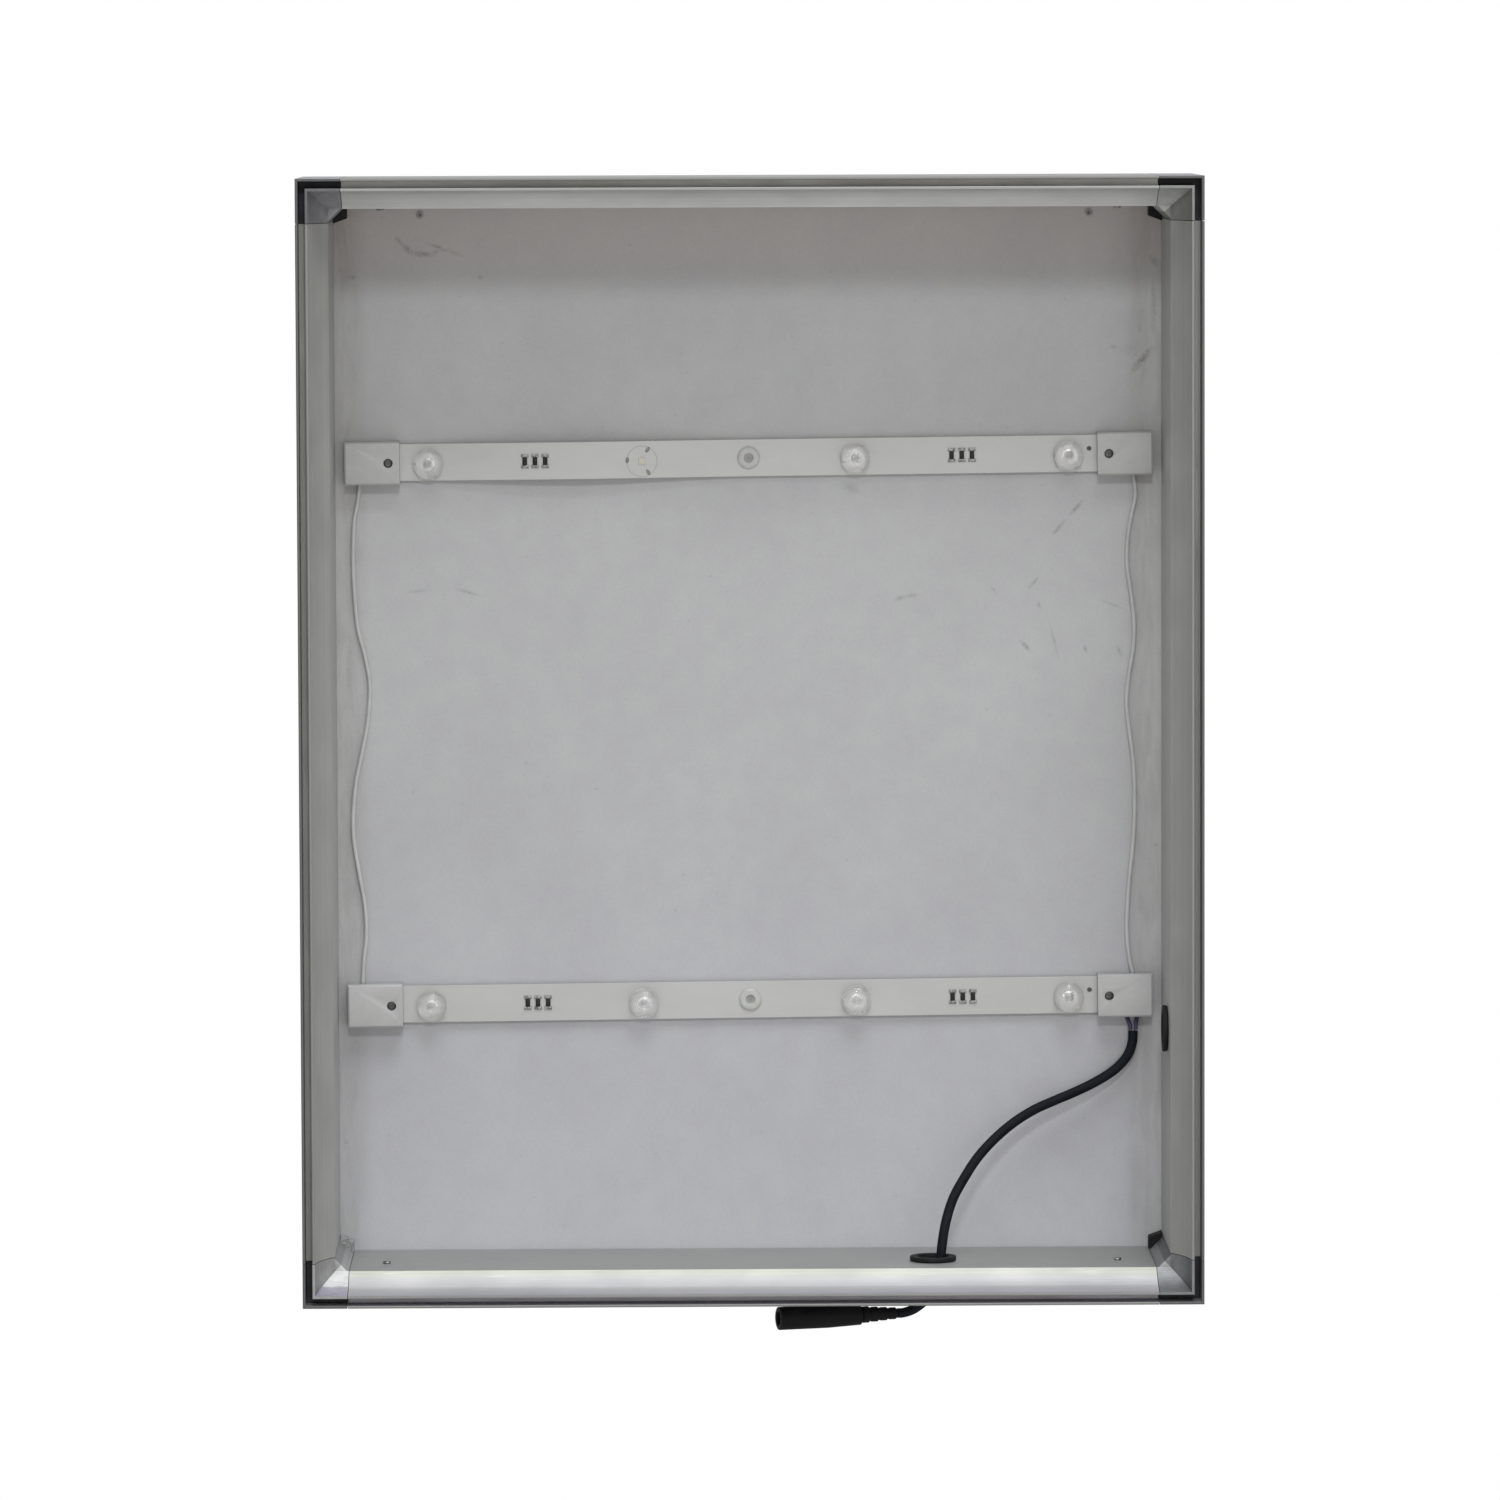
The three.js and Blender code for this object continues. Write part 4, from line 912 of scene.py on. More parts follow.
# %% Corner cores
def core_finish(name, wedge_dark, wedge_pale):
    """Black moulded plastic. Behind the groove, the wedge has its own tone."""
    finish, tree = new_finish(name, 0.6, Specular_IOR_Level=0.2)
    cloud, specks = grain(tree, 7, 4), grain(tree, 1.3, 3, distortion=0.8)
    plastic = ramp(tree, cloud, (0.3, (0.021, 0.021, 0.026)), (0.75, (0.036, 0.037, 0.044)))
    wedge = ramp(tree, specks, (0.38, wedge_dark), (0.66, wedge_pale))
    behind = span(tree, section_place(tree)[1], depth, (24, 0.0), (25, 1.0), (97, 1.0), (98, 0.0))
    connect(tree, mix(tree, behind, plastic, wedge), None, bump(tree, grain(tree, 0.25, 2), 0.03))
    return finish


wedge_black = core_finish("core_black", (0.005, 0.005, 0.006), (0.012, 0.012, 0.013))
wedge_scraped = core_finish("core_scraped", (0.16, 0.16, 0.16), (0.42, 0.42, 0.43))
for name in corner_places:
    paint(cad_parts["corner_core_" + name], wedge_scraped if name == "bottom_left" else wedge_black)
print("cores:", len(corner_places))

# %% [markdown]
# ## The back panel
# A rigid white board lies in a rebate behind the bars. It is matt and slightly dirty, with soft clouds
# and a fine speckle. Its tone holds painted light and shade: a warm shade at the top, paler and cooler
# lower down, and darker bands broken into wrinkles along the side walls.

# %% Panel tones
panel_white, tree = new_finish("panel_white", 0.62, Specular_IOR_Level=0.3)
cloud, fine, spots = grain(tree, 70, 4), grain(tree, 0.9, 3), grain(tree, 3.2, 2)
blots, wrinkles = grain(tree, 9, 4), grain(tree, (5, 40, 30), 4, distortion=1.0)
plain = between(tree, cloud, (0.410, 0.410, 0.415), (0.440, 0.442, 0.444))
plain = times(tree, plain, ramp(tree, blots, (0.35, (0.97, 0.96, 1.0)), (0.65, (1.02, 1.03, 1.02))), 0.5)
plain = times(tree, plain, ramp(tree, fine, (0.35, 0.78), (0.65, 1.1)), 0.16)
plain = mix(tree, ramp(tree, spots, (0.70, 0.0), (0.78, 0.5)), plain, (0.30, 0.29, 0.28))
panel_place = object_place(tree)
rise = maths(tree, "ADD", panel_place["Z"], height / 2 * MM)
# Painted light and shade by height: a warm shade at the top, a paler band below the upper board and a paler,
# cooler bottom.
painted_light_by_height = span(
    tree, rise, height, (15, (1.15, 1.17, 1.21)), (60, (1.05, 1.05, 1.09)), (110, (1.0, 1.0, 1.03)),
    (220, 1.0), (310, 1.07), (345, 1.09), (370, 1.0), (445, 1.0), (465, (1.03, 0.99, 0.96)),
    (485, (1.04, 0.98, 0.94)))
aside = maths(tree, "ADD", panel_place["X"], width / 2 * MM)
# Painted shade along the left wall, and a dip and then painted light at the right wall.
edges = span(
    tree, aside, width, (14, (0.86, 0.85, 0.83)), (21, (0.87, 0.865, 0.85)), (29, 1.0), (370, 1.0),
    (374, (0.95, 0.945, 0.93)), (380, (0.98, 0.97, 0.95)), (386, (1.08, 1.07, 1.04)))
tone = times(tree, times(tree, plain, painted_light_by_height), edges)
# Next to the side walls the tone is broken into wrinkles of painted shade.
near_wall = span(tree, aside, width, (20, 1.0), (28, 0.0), (371, 0.0), (376, 1.0))
painted_wrinkle_shade = times(tree, tone, ramp(tree, wrinkles, (0.35, (0.92, 0.915, 0.90)), (0.6, 1.03)))
tone = mix(tree, near_wall, tone, painted_wrinkle_shade)
print("panel tones:", len(tree.nodes), "nodes")

# %% [markdown]
# Tools rubbed against the front of the panel and left thin dark strokes. Each stroke is a long thin
# spot at its own place, broken up by noise. The back has none.


# %% Strokes on the panel
def rubbed(tree, source, x, z, half, wide, rise, strength):
    """A stroke on the panel, centred at x and z, in millimetres, that rises by an angle in degrees."""
    spot = add(tree, "ShaderNodeMapping", {
        "Vector": source, "Location": (x * MM, 0, z * MM), "Rotation": (0, math.radians(-rise), 0),
        "Scale": (half * MM, 1000, wide * MM)}, vector_type="TEXTURE")
    reach = add(tree, "ShaderNodeVectorMath", {0: spot.outputs[0]}, operation="LENGTH").outputs["Value"]
    return ramp(tree, reach, (0.1, strength), (1.0, 0.0))


marks = [
    (-156.5, 220.5, 4, 1.4, -48, 0.6), (-153, 217, 4.5, 1.8, -40, 0.7), (-146.5, 215, 7, 1.7, -3, 0.7),
    (-139.5, 218, 6.5, 1.2, -22, 0.5), (-132, 215.5, 6, 1, -20, 0.4), (-140.5, 216, 3, 1.1, 22, 0.4),
    (-178, 204.5, 1.5, 1.5, -45, 0.7), (-120.5, 204.5, 1.5, 1.4, -37, 0.5),
    (-183.5, 208, 1.5, 1.2, -64, 0.5), (148, 99.5, 5.5, 1.4, 48, 0.6), (140, 90.5, 5.5, 1.4, 50, 0.6),
    (128.5, 65.5, 5, 1.2, 50, 0.5), (131, 55.5, 2.5, 1.2, -73, 0.5), (125, 37, 4, 1.4, -47, 0.7),
    (138, 39, 11, 0.9, -76, 0.35), (152, 35.5, 2.5, 1.2, -67, 0.5), (167.5, 34.5, 3.5, 1.2, -64, 0.45),
    (110.5, 62.5, 3, 0.9, -56, 0.35), (-149.5, 63, 6.5, 1.1, 5, 0.35),
    (-127, 62.5, 7.5, 1.2, -16, 0.45), (68.5, 59, 4, 1.5, 18, 0.5), (73.5, 60, 4, 1.4, 6, 0.45),
    (46, 109, 5.5, 3.2, -27, 0.3), (183, 211, 4, 2, -54, 0.5), (183, 191, 15, 1.6, -88, 0.45),
    (177.5, 166, 9, 2.3, 51, 0.8), (164.5, 55.5, 8, 0.9, -22, 0.35), (165, 172, 2.5, 1.5, -10, 0.4),
    (176.5, 180, 2.5, 1.3, 78, 0.35), (173, 171, 7, 4.5, 25, 0.2),
]
source, dirt = add(tree, "ShaderNodeTexCoord").outputs["Object"], 0.0
for mark in marks:
    dirt = maths(tree, "MAXIMUM", dirt, rubbed(tree, source, *mark))
broken = ramp(tree, grain(tree, (1.4, 40, 1.4), 4), (0.40, 0.45), (0.58, 1.0))
tone = mix(tree, times(tree, dirt, broken), tone, (0.17, 0.165, 0.155))
front_side = maths(tree, "LESS_THAN", panel_place["Y"], -panel_thickness / 2 * MM)
tone = mix(tree, front_side, plain, tone)
connect(tree, tone, between(tree, spots, 0.55, 0.7), bump(tree, fine, 0.04, 0.5))
paint(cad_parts["back_panel"], panel_white)
print("scuffs on the panel:", len(marks))

# %% [markdown]
# ## The LED boards
# Each board is a white strip on a small tilt. The upper one bows away from the panel between its left
# cap and its rivet, as a strip does that was pushed in a little too long. A swept section with many
# steps follows that bow.


# %% Board strips
def bow_at(x, bow):
    """How far a board bows away from the panel at x. It is straight right of the rivet."""
    return bow * math.sin(math.pi * x / cap_inner) ** 2 if -cap_inner < x < 0 else 0


def board_place(bar):
    """Carries a board from the origin to its place: bar is 1 for the upper one, -1 for the lower."""
    middle = Matrix.Translation((0, -panel_thickness, bar * bar_spacing / 2))
    return middle @ Matrix.Rotation(-bar_tilt, 4, "Y")


boards = {"upper": (1, board_bow, (0, 2, 3)), "lower": (-1, 0, (0, 1, 2, 3))}
board_white, tree = new_finish("board_white", 0.42, Specular_IOR_Level=0.45)
cloud, fine = grain(tree, (40, 40, 14)), grain(tree, 0.5, 2)
tone = between(tree, cloud, (0.450, 0.451, 0.438), (0.500, 0.500, 0.490))
tone = times(tree, tone, ramp(tree, fine, (0.35, 0.75), (0.65, 1.1)), 0.10)
lower = maths(tree, "LESS_THAN", object_place(tree)["Z"], 0.0)
tone = mix(tree, lower, tone, times(tree, tone, (0.91, 0.905, 0.915)))
connect(tree, tone, between(tree, cloud, 0.36, 0.5), bump(tree, fine, 0.02, 0.5))
edge, half = 0.15, board_width / 2
ring = [
    (-half, -board_lift), (half, -board_lift), (half, -board_face + edge), (half - edge, -board_face),
    (-half + edge, -board_face), (-half, -board_face + edge),
]
xs = [-board_half] + [-cap_inner + cap_inner * i / 60 for i in range(61)] + [board_half]
hole_x, hole_z, hole_radius = cap_inner - 3.5, 2.2, 1.1
for name, (bar, bow, lenses) in boards.items():
    points = [(x, y - bow_at(x, bow), z) for x in xs for z, y in ring]
    strip = place(new_piece("strip_" + name, points, ring_faces(len(xs), len(ring))), board_place(bar))
    hole = board_place(bar) @ Vector((hole_x, 0, hole_z))
    cut_round(strip, hole_radius, hole - Vector((0, 6, 0)), hole, 32)
    dress(shade(strip, 24), board_white, "board_white", "led_board_" + name)

# %% [markdown]
# ## What repeats on the boards
# LEDs, resistors, lenses, rivets and screws all repeat. One Geometry Nodes tree sets a template at
# each point of a small point cloud, turned by an attribute of that point. It makes the copies real
# and paints them, because the exported model keeps no instances.

# %% Geometry Nodes tree that sets copies on points
set_copies, given, result = new_tree(
    "set_copies", ("Template", "Object"), ("Size", "Float"), ("Finish", "Material"))
template = add(
    set_copies, "GeometryNodeObjectInfo", {"Object": given["Template"]}, transform_space="ORIGINAL")
stored = add(set_copies, "GeometryNodeInputNamedAttribute", {"Name": "turn"}, data_type="FLOAT_VECTOR")
turn = add(set_copies, "FunctionNodeEulerToRotation", {"Euler": stored.outputs["Attribute"]})
copies = add(set_copies, "GeometryNodeInstanceOnPoints", {
    "Points": given["Geometry"], "Instance": template.outputs["Geometry"],
    "Rotation": turn.outputs["Rotation"], "Scale": given["Size"]})
end_tree(set_copies, copies.outputs["Instances"], given["Finish"], result)


def copies_of(name, template, places, finish, slot, *nodes):
    """Sets the template at every matrix in places, removes it, and dresses the copies."""
    piece = new_piece(name, [where.translation for where in places], [])
    turns = piece.data.attributes.new("turn", "FLOAT_VECTOR", "POINT")
    for item, where in zip(turns.data, places):
        item.vector = where.to_euler("XYZ")
    run_tree(piece, set_copies, Template=template, Size=1.0, Finish=finish)
    bpy.data.objects.remove(template)
    dress(piece, finish, slot, *nodes)


def board_spots(bar, bow, spots):
    """Places on a board's front face, square to the bowed strip, from (x, z) pairs."""
    made, reach = [], 3
    for x, z in spots:
        climb = math.atan2(bow_at(x + reach, bow) - bow_at(x - reach, bow), 2 * reach)
        spot = Matrix.Translation((x, -board_face - bow_at(x, bow), z)) @ Matrix.Rotation(-climb, 4, "Z")
        made.append(board_place(bar) @ spot)
    return made


def on_boards(spots_for):
    """Places on both boards. The spots may depend on the lenses that a board still has."""
    return [spot for bar, bow, lenses in boards.values()
            for spot in board_spots(bar, bow, spots_for(lenses))]


# %% [markdown]
# The small pieces start as a block or a turned profile, and most of them share one kind of finish.


# %% Blocks and plain finishes
def block(name, x, y, z):
    """A box from the low to the high value on each axis."""
    points = [(a, b, c) for a in x for b in y for c in z]
    faces = [(0, 1, 3, 2), (4, 5, 7, 6), (0, 1, 5, 4), (2, 3, 7, 6), (0, 2, 6, 4), (1, 3, 7, 5)]
    return face_outwards(new_piece(name, points, faces))


def chip(name, x, y, z, edge=0.12):
    """A small block with soft edges, 2x wide and y high, that is sunk a little into the board."""
    return soften(block(name, (-x, x), (-y, 0.1), z), edge)


def plain_finish(name, dark, pale, roughness, size=2.0, depth=0.02, metallic=0.0, **sockets):
    """A finish with a soft change of tone and a fine relief, for small pieces."""
    finish, tree = new_finish(name, roughness, metallic, **sockets)
    cloud, fine = grain(tree, size, 4), grain(tree, size / 6, 2)
    rough = between(tree, cloud, roughness - 0.07, roughness + 0.08)
    connect(tree, between(tree, cloud, dark, pale), rough, bump(tree, fine, depth, 0.6))
    return finish


# %% [markdown]
# An LED is a small white package with a pale yellow window. A resistor is a black body between two
# soldered ends, and three of them sit side by side between the lenses.

# %% LED packages and resistors
led_white = plain_finish("led_white", (0.48, 0.47, 0.42), (0.56, 0.55, 0.50), 0.4)
led_window = plain_finish("led_window", (0.44, 0.43, 0.33), (0.52, 0.50, 0.40), 0.3)
chip_black = plain_finish(
    "chip_black", (0.006, 0.006, 0.007), (0.020, 0.020, 0.021), 0.5, Specular_IOR_Level=0.2)
solder = plain_finish("solder", (0.06, 0.06, 0.058), (0.36, 0.36, 0.35), 0.4, 0.9, 0.04, 0.3)
resistor_pitch = 4.6
resistor_xs = [way * led_pitch + i * resistor_pitch for way in (-1, 1) for i in (-1, 0, 1)]
leds = on_boards(lambda lenses: [(x, -led_drop) for x in led_places])
resistors = on_boards(lambda lenses: [(x, 0) for x in resistor_xs])
copies_of("led_packages", chip("led", 1.5, 0.65, (-1.5, 1.5)), leds, led_white, "board_white")
copies_of("led_windows", chip("window", 1.05, 0.7, (-1.05, 1.05)), leds, led_window, "lens_clear")
copies_of("resistor_bodies", chip("body", 1.05, 0.6, (-1.9, 1.9)), resistors, chip_black, "black_plastic")
for name, ends in (("upper_ends", (1.7, 3.2)), ("lower_ends", (-3.2, -1.7))):
    copies_of("resistor_" + name, chip("end", 1.7, 0.55, ends, 0.2), resistors, solder, "screw_steel")

# %% [markdown]
# A lens is a clear dome with a dimple on top and a hollow over the LED. It stands on three feet that
# are glued to the board. The second lens of the upper board is missing: its printed ring and the
# three dark spots of glue are left.


# %% Lenses
lens_radius, lens_height, lens_lift, foot_ring = 6.8, 5.9, 0.6, 5.4
hollow = bend((0, 3), (2.9, 3), (2.9, lens_lift), 10)
side = bend((lens_radius, 2.0), (lens_radius, lens_height), (2.7, lens_height), 10)
dimple = bend((2.7, lens_height), (1.35, 5.6), (0, 4.6), 10)
dome = hollow + [(lens_radius - 0.3, lens_lift), (lens_radius, 0.9)] + side + dimple[1:]
lens = shade(turned("lens", [(r, -y) for r, y in dome], facets=48), 40)
lens_clear, tree = new_finish(
    "lens_clear", 0.06, Transmission_Weight=0.92, IOR=1.46, Specular_IOR_Level=0.5)
haze, swirl = grain(tree, 4, 4), grain(tree, 2.2)
rough = ramp(tree, haze, (0.35, 0.08), (0.7, 0.28))
connect(tree, between(tree, haze, 0.91, 0.975), rough, bump(tree, swirl, 0.06, 0.4))
spots = on_boards(lambda lenses: [(led_places[i], -led_drop) for i in lenses])
names = ["lens_" + name + "_" + str(i + 1) for name, (bar, bow, lenses) in boards.items() for i in lenses]
copies_of("lenses", lens, spots, lens_clear, "lens_clear", *names)
foot = turned("foot", rounded([(0, -0.75), (0.8, -0.75), (0.95, 0.02), (0, 0.02)], 0.15), facets=20)
turns = [math.pi - i * 2 * math.pi / 3 for i in range(3)]
feet = [spot @ Matrix.Translation((foot_ring * math.cos(t), 0, foot_ring * math.sin(t)))
        for spot in spots for t in turns]
glue_pale = plain_finish("glue_pale", (0.36, 0.36, 0.33), (0.50, 0.50, 0.47), 0.3, 1.0)
copies_of("lens_feet", shade(foot, 40), feet, glue_pale, "lens_clear")

# %% The missing lens: a printed ring and three spots of old glue
bar, bow, lenses = boards["upper"]
(gap,) = board_spots(bar, bow, [(led_places[1], -led_drop)])
ring_line = [(6.75, -0.01), (6.75, -0.05), (7.0, -0.05), (7.0, -0.01), (6.75, -0.01)]
print_grey = plain_finish("print_grey", (0.27, 0.27, 0.26), (0.36, 0.36, 0.34), 0.6, 1.5)
printed_ring = shade(turned("ring", ring_line, facets=72), 40)
copies_of("lens_print", printed_ring, [gap], print_grey, "board_white")
blob_line = [(0, -0.22), (0.55, -0.2), (1.0, -0.03), (1.0, 0.05), (0, 0.05)]
blob = turned("blob", rounded(blob_line, 0.2), facets=20)
blob.data.transform(Matrix.Diagonal((0.8, 1, 1.5, 1)))
glue_dark = plain_finish("glue_dark", (0.10, 0.10, 0.095), (0.26, 0.26, 0.25), 0.35, 0.9)
offsets = [(-6.6, 0.6, 8), (2.6, 5.2, 35), (2.9, -5.0, -30)]
blobs = [gap @ Matrix.Translation((x, 0, z)) @ Matrix.Rotation(math.radians(turn), 4, "Y")
         for x, z, turn in offsets]
copies_of("old_glue", shade(blob, 40), blobs, glue_dark, "lens_clear")

# %% A dark disc of painted shade in the tooling hole of each board
shade_disc_line = [(0, -0.7), (hole_radius - 0.15, -0.7), (hole_radius - 0.15, 0), (0, 0)]
shade_disc = shade(turned("dirt", rounded(shade_disc_line, 0.15), facets=32), 40)
in_hole = Matrix.Translation((hole_x, -board_lift - 0.1, hole_z))
shade_disc_spots = [board_place(bar) @ in_hole for bar in (1, -1)]
hole_black = plain_finish("hole_black", (0.05, 0.05, 0.05), (0.12, 0.12, 0.117), 0.7, 0.9)
copies_of("hole_dirt", shade_disc, shade_disc_spots, hole_black, "black_plastic")

# %% [markdown]
# A push rivet of milky nylon holds the middle of each board. Light goes a little way into nylon, so
# its finish scatters under the surface. The cup in its head is darkened as painted shade.

# %% Push rivets
stem_end, rivet_top = panel_thickness - fit, -board_face - 0.1
rivet_profile = [
    (0, stem_end), (1.7, stem_end), (1.7, rivet_top), (5.1, rivet_top), (5.1, rivet_top - 0.4),
    (4.2, rivet_top - 0.9), (2.2, rivet_top - 1.0), (1.8, rivet_top - 0.4), (0, rivet_top - 0.4),
]


def from_axes(tree, in_x, in_z):
    """The distance from the nearest of some axes along y, each at a middle plus or minus a shift."""
    place, away = object_place(tree), []
    for axis, (middle, shift) in (("X", in_x), ("Z", in_z)):
        aside = maths(tree, "ABSOLUTE", maths(tree, "SUBTRACT", place[axis], middle * MM))
        away.append(maths(tree, "SUBTRACT", aside, shift * MM))
    flat = add(tree, "ShaderNodeCombineXYZ", {"X": away[0], "Y": away[1]}).outputs[0]
    return add(tree, "ShaderNodeVectorMath", {0: flat}, operation="LENGTH").outputs["Value"]


rivet = shade(turned("rivet", rounded(rivet_profile, 0.3), facets=48), 45)
nylon, tree = new_finish("nylon", 0.4, Subsurface_Weight=0.25, Subsurface_Scale=0.001)
cloud, fine = grain(tree, 3, 4), grain(tree, 0.5, 2)
# Painted shade in the cup of the head.
painted_cup_shade = span(tree, from_axes(tree, (0, 0), (0, bar_spacing / 2)), 6, (0.5, 0.48), (1.5, 0.62), (2.3, 1.0))
tone = between(tree, cloud, (0.39, 0.392, 0.375), (0.47, 0.472, 0.452))
connect(tree, times(tree, tone, painted_cup_shade), between(tree, cloud, 0.33, 0.48), bump(tree, fine, 0.05, 0.6))
middles = [board_place(1), board_place(-1)]
copies_of("push_rivets", rivet, middles, nylon, "nylon", "push_rivet_upper", "push_rivet_lower")

# %% [markdown]
# ## End caps
# The caps are hollow white mouldings with chamfered rims. The CAD solids have the right form, notches
# and all, so each piece is a copy of its node: the loose triangles are merged, flat faces are joined
# again, and then every edge gets a small round.


# %% A softened copy of a CAD node
def softened_node(node, name):
    """A copy of a CAD node with a small round on every sharp edge."""
    copy = bpy.data.objects.new(name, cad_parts[node].data.copy())
    scene.collection.objects.link(copy)

    def join_faces(shape):
        bmesh.ops.remove_doubles(shape, verts=shape.verts, dist=1e-6)
        bmesh.ops.dissolve_limit(shape, angle_limit=math.radians(1), verts=shape.verts, edges=shape.edges)

    return soften(edit(copy, join_faces), 0.2, 25)


cap_white, tree = new_finish("cap_white", 0.4, Specular_IOR_Level=0.45)
cloud, fine, swirl = grain(tree, 11, 4), grain(tree, 0.4, 2), grain(tree, (6, 6, 2), distortion=1.5)
tone = between(tree, cloud, (0.375, 0.375, 0.372), (0.422, 0.422, 0.418))
tone = times(tree, tone, ramp(tree, swirl, (0.35, 0.8), (0.65, 1.12)), 0.14)
relief = bump(tree, swirl, 0.06, 0.4, bump(tree, fine, 0.015))
connect(tree, tone, between(tree, cloud, 0.34, 0.5), relief)
cap_ends = [name + "_" + end for name in boards for end in ("left", "right")]
for end in cap_ends:
    dress(softened_node("end_cap_" + end, "cap_" + end), cap_white, "cap_white", "end_cap_" + end)

# %% [markdown]
# ## Screws
# Three kinds of screw hold the box together: pan heads in the corners, pan heads deep in the caps and
# countersunk ones behind the panel. A cross recess is cut into each head, the slivers that the cuts
# leave are merged, and the copies are set by the same tree as the lenses. Plated steel is bright but
# smudged, and the cap screws have a duller, darker finish.


# %% Screw shapes
def screw(name, profile, top, cross, looks_back=False):
    """A turned screw with a cross recess. Its head ends at y = top and looks forward, or back."""
    body = turned(name, rounded(profile, 0.2, 3), facets=40)
    thin, deep, over = cross * 0.28, 0.9, 2
    reach = (top - deep, top + over) if looks_back else (top - over, top + deep)
    for turn in (0, quarter):
        slot = block("slot", (-cross, cross), reach, (-thin, thin))
        cut(body, place(slot, Matrix.Rotation(turn, 4, "Y")))
    edit(body, lambda shape: bmesh.ops.remove_doubles(shape, verts=shape.verts, dist=5e-6))
    edit(body, lambda shape: bmesh.ops.dissolve_degenerate(shape, dist=5e-6, edges=shape.edges))
    edit(body, lambda shape: bmesh.ops.triangulate(shape, faces=[f for f in shape.faces if len(f.verts) > 4]))
    return shade(body, 35)


screw_steel = plain_finish("screw_steel", (0.13, 0.13, 0.13), (0.36, 0.36, 0.35), 0.36, 1.2, 0.03, 0.85)
screw_dull = plain_finish("screw_dull", (0.22, 0.22, 0.22), (0.42, 0.42, 0.42), 0.6, 1.0, 0.03, 0.2)
seat = -board_face - fit
head_top = seat - 1.6
cap_pan = [
    (0, stem_end), (1.1, stem_end), (1.1, seat), (1.9, seat), (1.9, seat - 1.1), (1.4, head_top),
    (0, head_top),
]
cap_hole_x = cap_inner + 5.1
cap_places = [board_place(bar) @ Matrix.Translation((x, 0, 0))
              for bar in (1, -1) for x in (-cap_hole_x, cap_hole_x)]
copies_of("cap_screws", screw("cap_screw", cap_pan, head_top, 1.1), cap_places,
          screw_dull, "screw_steel", *["cap_screw_" + end for end in cap_ends])

# %% Corner screws and panel screws
pan = [(0, 9), (1.45, 9), (1.45, -0.3), (1.8, -0.3), (1.8, -0.7), (1.35, -1.1), (0, -1.1)]
inner_wall, screw_x, screw_back = height / 2 - face_width, 164, 50
corner_spots = [
    Matrix.Translation((x, -screw_back, way * inner_wall)) @ Matrix.Rotation(way * quarter, 4, "X")
    for x in (-screw_x, screw_x) for way in (-1, 1)
]
copies_of("corner_screws", screw("corner_screw", pan, -1.1, 1.0), corner_spots,
          screw_steel, "screw_steel", *["corner_screw_" + name for name in corner_places])
sunk = [(0, -8), (1.45, -8), (1.45, -1.5), (2.8, 0), (0, 0)]
screw_inset, along_level, along_upright = 9, 100, 130
panel_spots, panel_names = [], []
for side, x, z in (("bottom", 0, -1), ("top", 0, 1), ("left", -1, 0), ("right", 1, 0)):
    for number, way in ((1, -1), (2, 1)):
        x_place = x * (width / 2 - screw_inset) if x else way * along_level
        z_place = z * (height / 2 - screw_inset) if z else way * along_upright
        panel_spots.append(Matrix.Translation((x_place, -0.1, z_place)))
        panel_names.append("panel_screw_" + side + "_" + str(number))
copies_of("panel_screws", screw("panel_screw", sunk, 0, 1.5, looks_back=True), panel_spots,
          screw_steel, "screw_steel", *panel_names)

# %% [markdown]
# ## Link wires and cable bushes
# Two white wires link the boards. They were pushed in by hand, so they wave a little. Each point of
# their route is a share of the way down, with a distance to the side in millimetres.

# %% Link wires
left_wave = [
    (0.04, -1), (0.08, -2.7), (0.16, -3.3), (0.24, -2.5), (0.29, -1.3), (0.35, 2.1), (0.4, 3.9),
    (0.47, 3), (0.53, 0.5), (0.59, -2.4), (0.66, -4), (0.71, -3.7), (0.78, -1.2), (0.84, 1.1),
    (0.9, 1.7), (0.95, 0.5),
]
right_wave = [
    (0.05, 0.9), (0.08, -0.5), (0.13, -2.5), (0.19, -2.7), (0.24, -1.1), (0.3, 0.4), (0.35, 0),
    (0.41, -2.2), (0.46, -3), (0.52, -1.6), (0.58, 0.1), (0.66, 0.6), (0.72, 0.2), (0.78, -1.1),
    (0.85, -2.5), (0.92, -2.8), (0.97, -1.5),
]
left_notch, right_notch = -cap_inner - 18.1, cap_inner + 16.4
for name, along, wave in (("left", left_notch, left_wave), ("right", right_notch, right_wave)):
    (top_x, top_z), (low_x, low_z) = on_board(1, along, -wire_end), on_board(-1, along, wire_end)
    route = [(top_x + (low_x - top_x) * share + aside, wire_y, top_z + (low_z - top_z) * share)
             for share, aside in [(0, 0), *wave, (1, 0)]]
    wire = tube("link_" + name, smooth_line(route, 5), wire_radius, 14)
    dress(wire, wire_white, "wire_white", "link_wire_" + name)

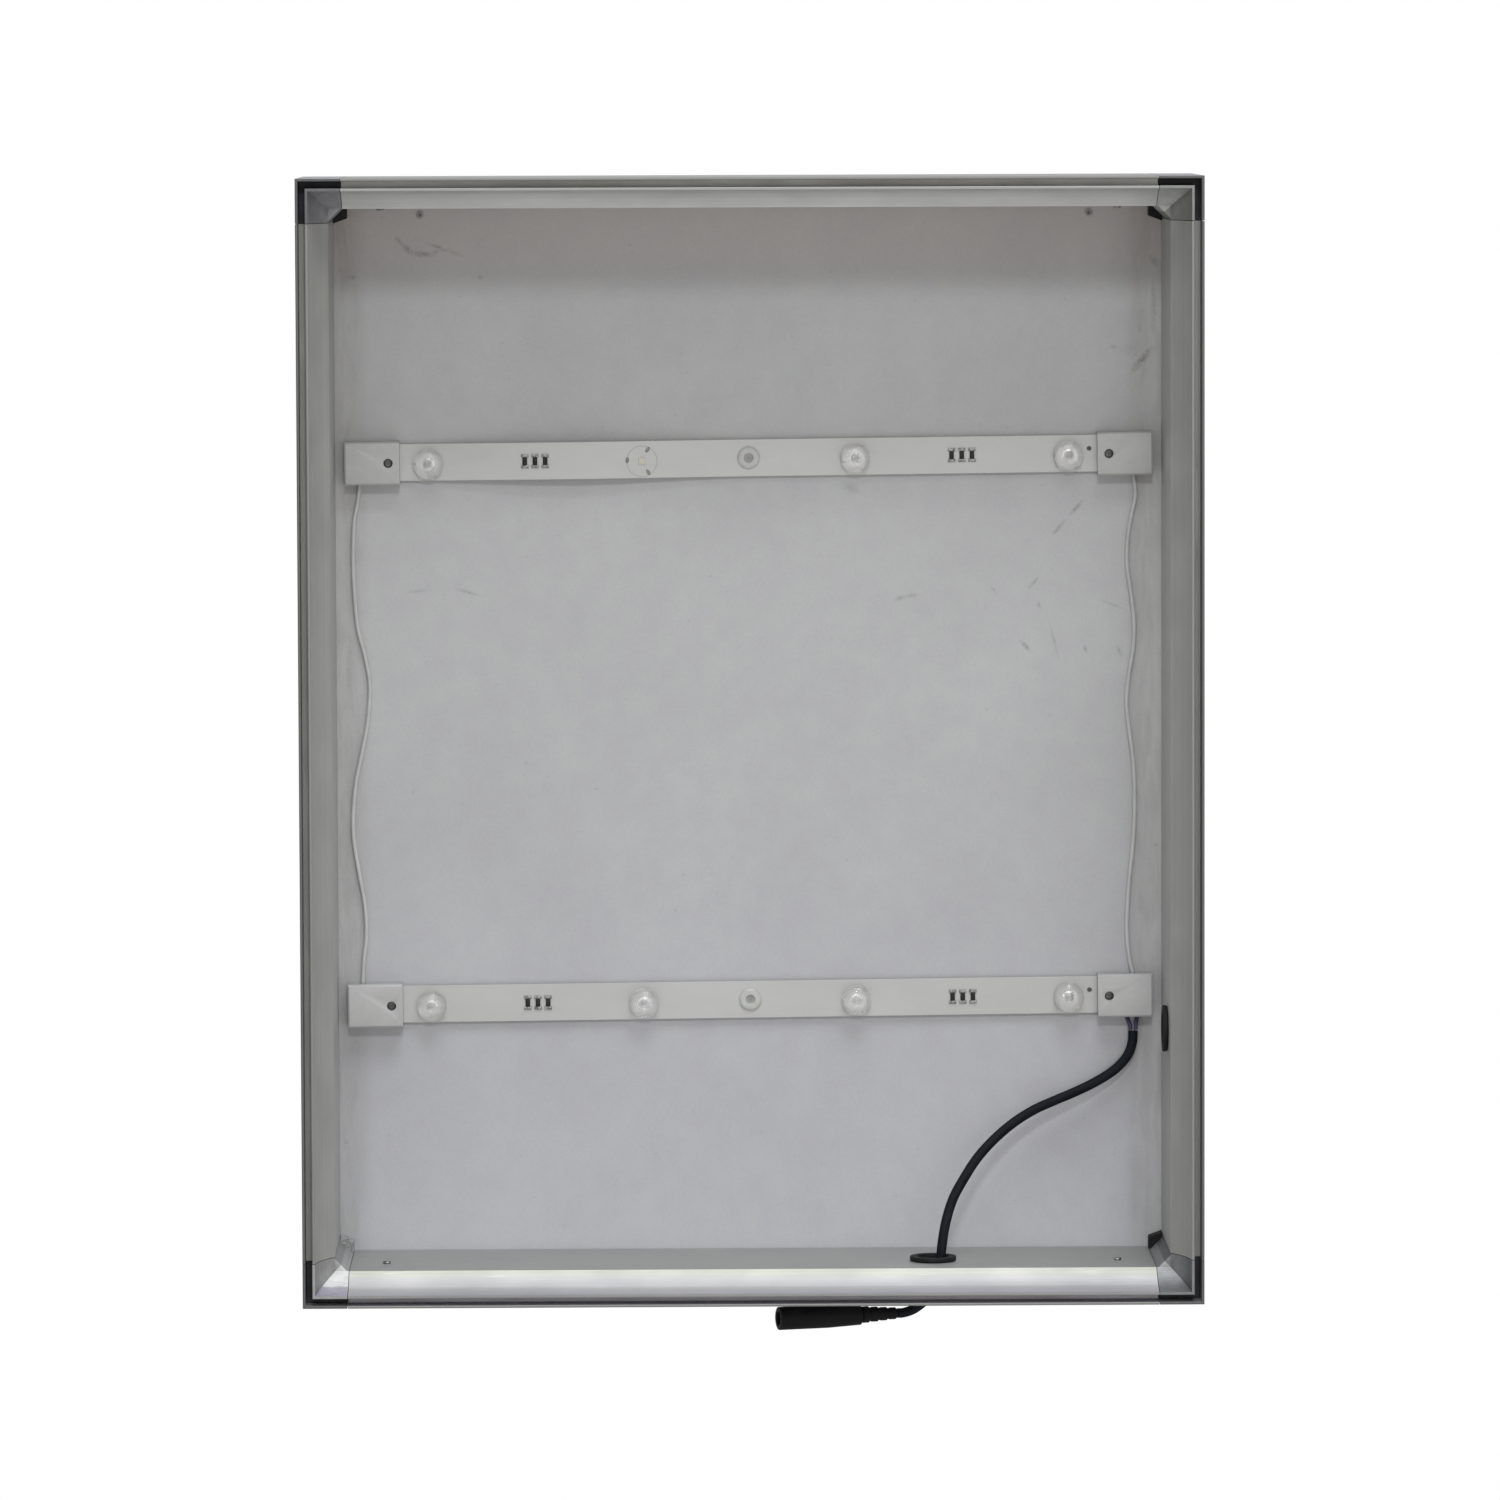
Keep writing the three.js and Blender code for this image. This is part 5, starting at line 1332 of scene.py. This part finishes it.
# %% [markdown]
# Each bush is a rubber ring with a flange on the inner wall and a sleeve that reaches the outer face.
# Two small stoppers close the wall-fixing holes just under the top profile. Their heads are pale at
# the rims and dark in the middles.

# %% Cable bushes and stoppers
bush_rubber = plain_finish("bush_rubber", (0.008, 0.008, 0.009), (0.018, 0.018, 0.019), 0.65, 3.0, 0.04,
                           Specular_IOR_Level=0.15)
bore, sleeve, flange = 7.2, bush_hole - fit, 10.4
flange_low, flange_top = face_width + fit, face_width + fit + 2
ring = [
    (bore, 0), (sleeve, 0), (sleeve, flange_low), (flange, flange_low), (flange, flange_top),
    (bore, flange_top),
]
ring = rounded(ring + ring[:2], 0.5)[1:-1]
for name, side, along in (("bottom", "bottom", bush_x), ("side", "right", bush_z)):
    where = sides[side][0] @ Matrix.Translation((along, bush_back, 0)) @ Matrix.Rotation(quarter, 4, "X")
    bush = turned("bush_" + name, ring + ring[:1], where)
    edit(bush, lambda shape: bmesh.ops.remove_doubles(shape, verts=shape.verts, dist=1e-6))
    dress(shade(face_outwards(bush), 40), bush_rubber, "bush_rubber", "cable_bush_" + name)
seat = -panel_thickness - fit
stem, head = 1.2, 1.8
stopper_line = [
    (0, seat - 0.6), (stem, seat - 0.6), (head, seat - 0.3), (head, seat), (stem, seat), (stem, -fit),
    (0, -fit),
]
stopper = shade(turned("stopper", rounded(stopper_line, 0.15), facets=40), 50)
holes_middle, holes_shift, holes_z = 3.1, 150.5, height / 2 - face_width - 3.9
holes = [Matrix.Translation((holes_middle + way * holes_shift, 0, holes_z)) for way in (-1, 1)]
rubber_pale_rim, tree = new_finish("rubber_pale_rim", 0.7, Specular_IOR_Level=0.15)
radius = from_axes(tree, (holes_middle, holes_shift), (holes_z, 0))
rim_tone = between(tree, grain(tree, 1.2, 4), (0.33, 0.32, 0.31), (0.40, 0.385, 0.375))
rim_tone = times(tree, rim_tone, span(tree, radius, 3, (0.4, 0.32), (1.4, 1.0)))
connect(tree, rim_tone, None, bump(tree, grain(tree, 0.3, 2), 0.04))
copies_of("stoppers", stopper, holes, rubber_pale_rim, "bush_rubber", "hole_stopper_left", "hole_stopper_right")
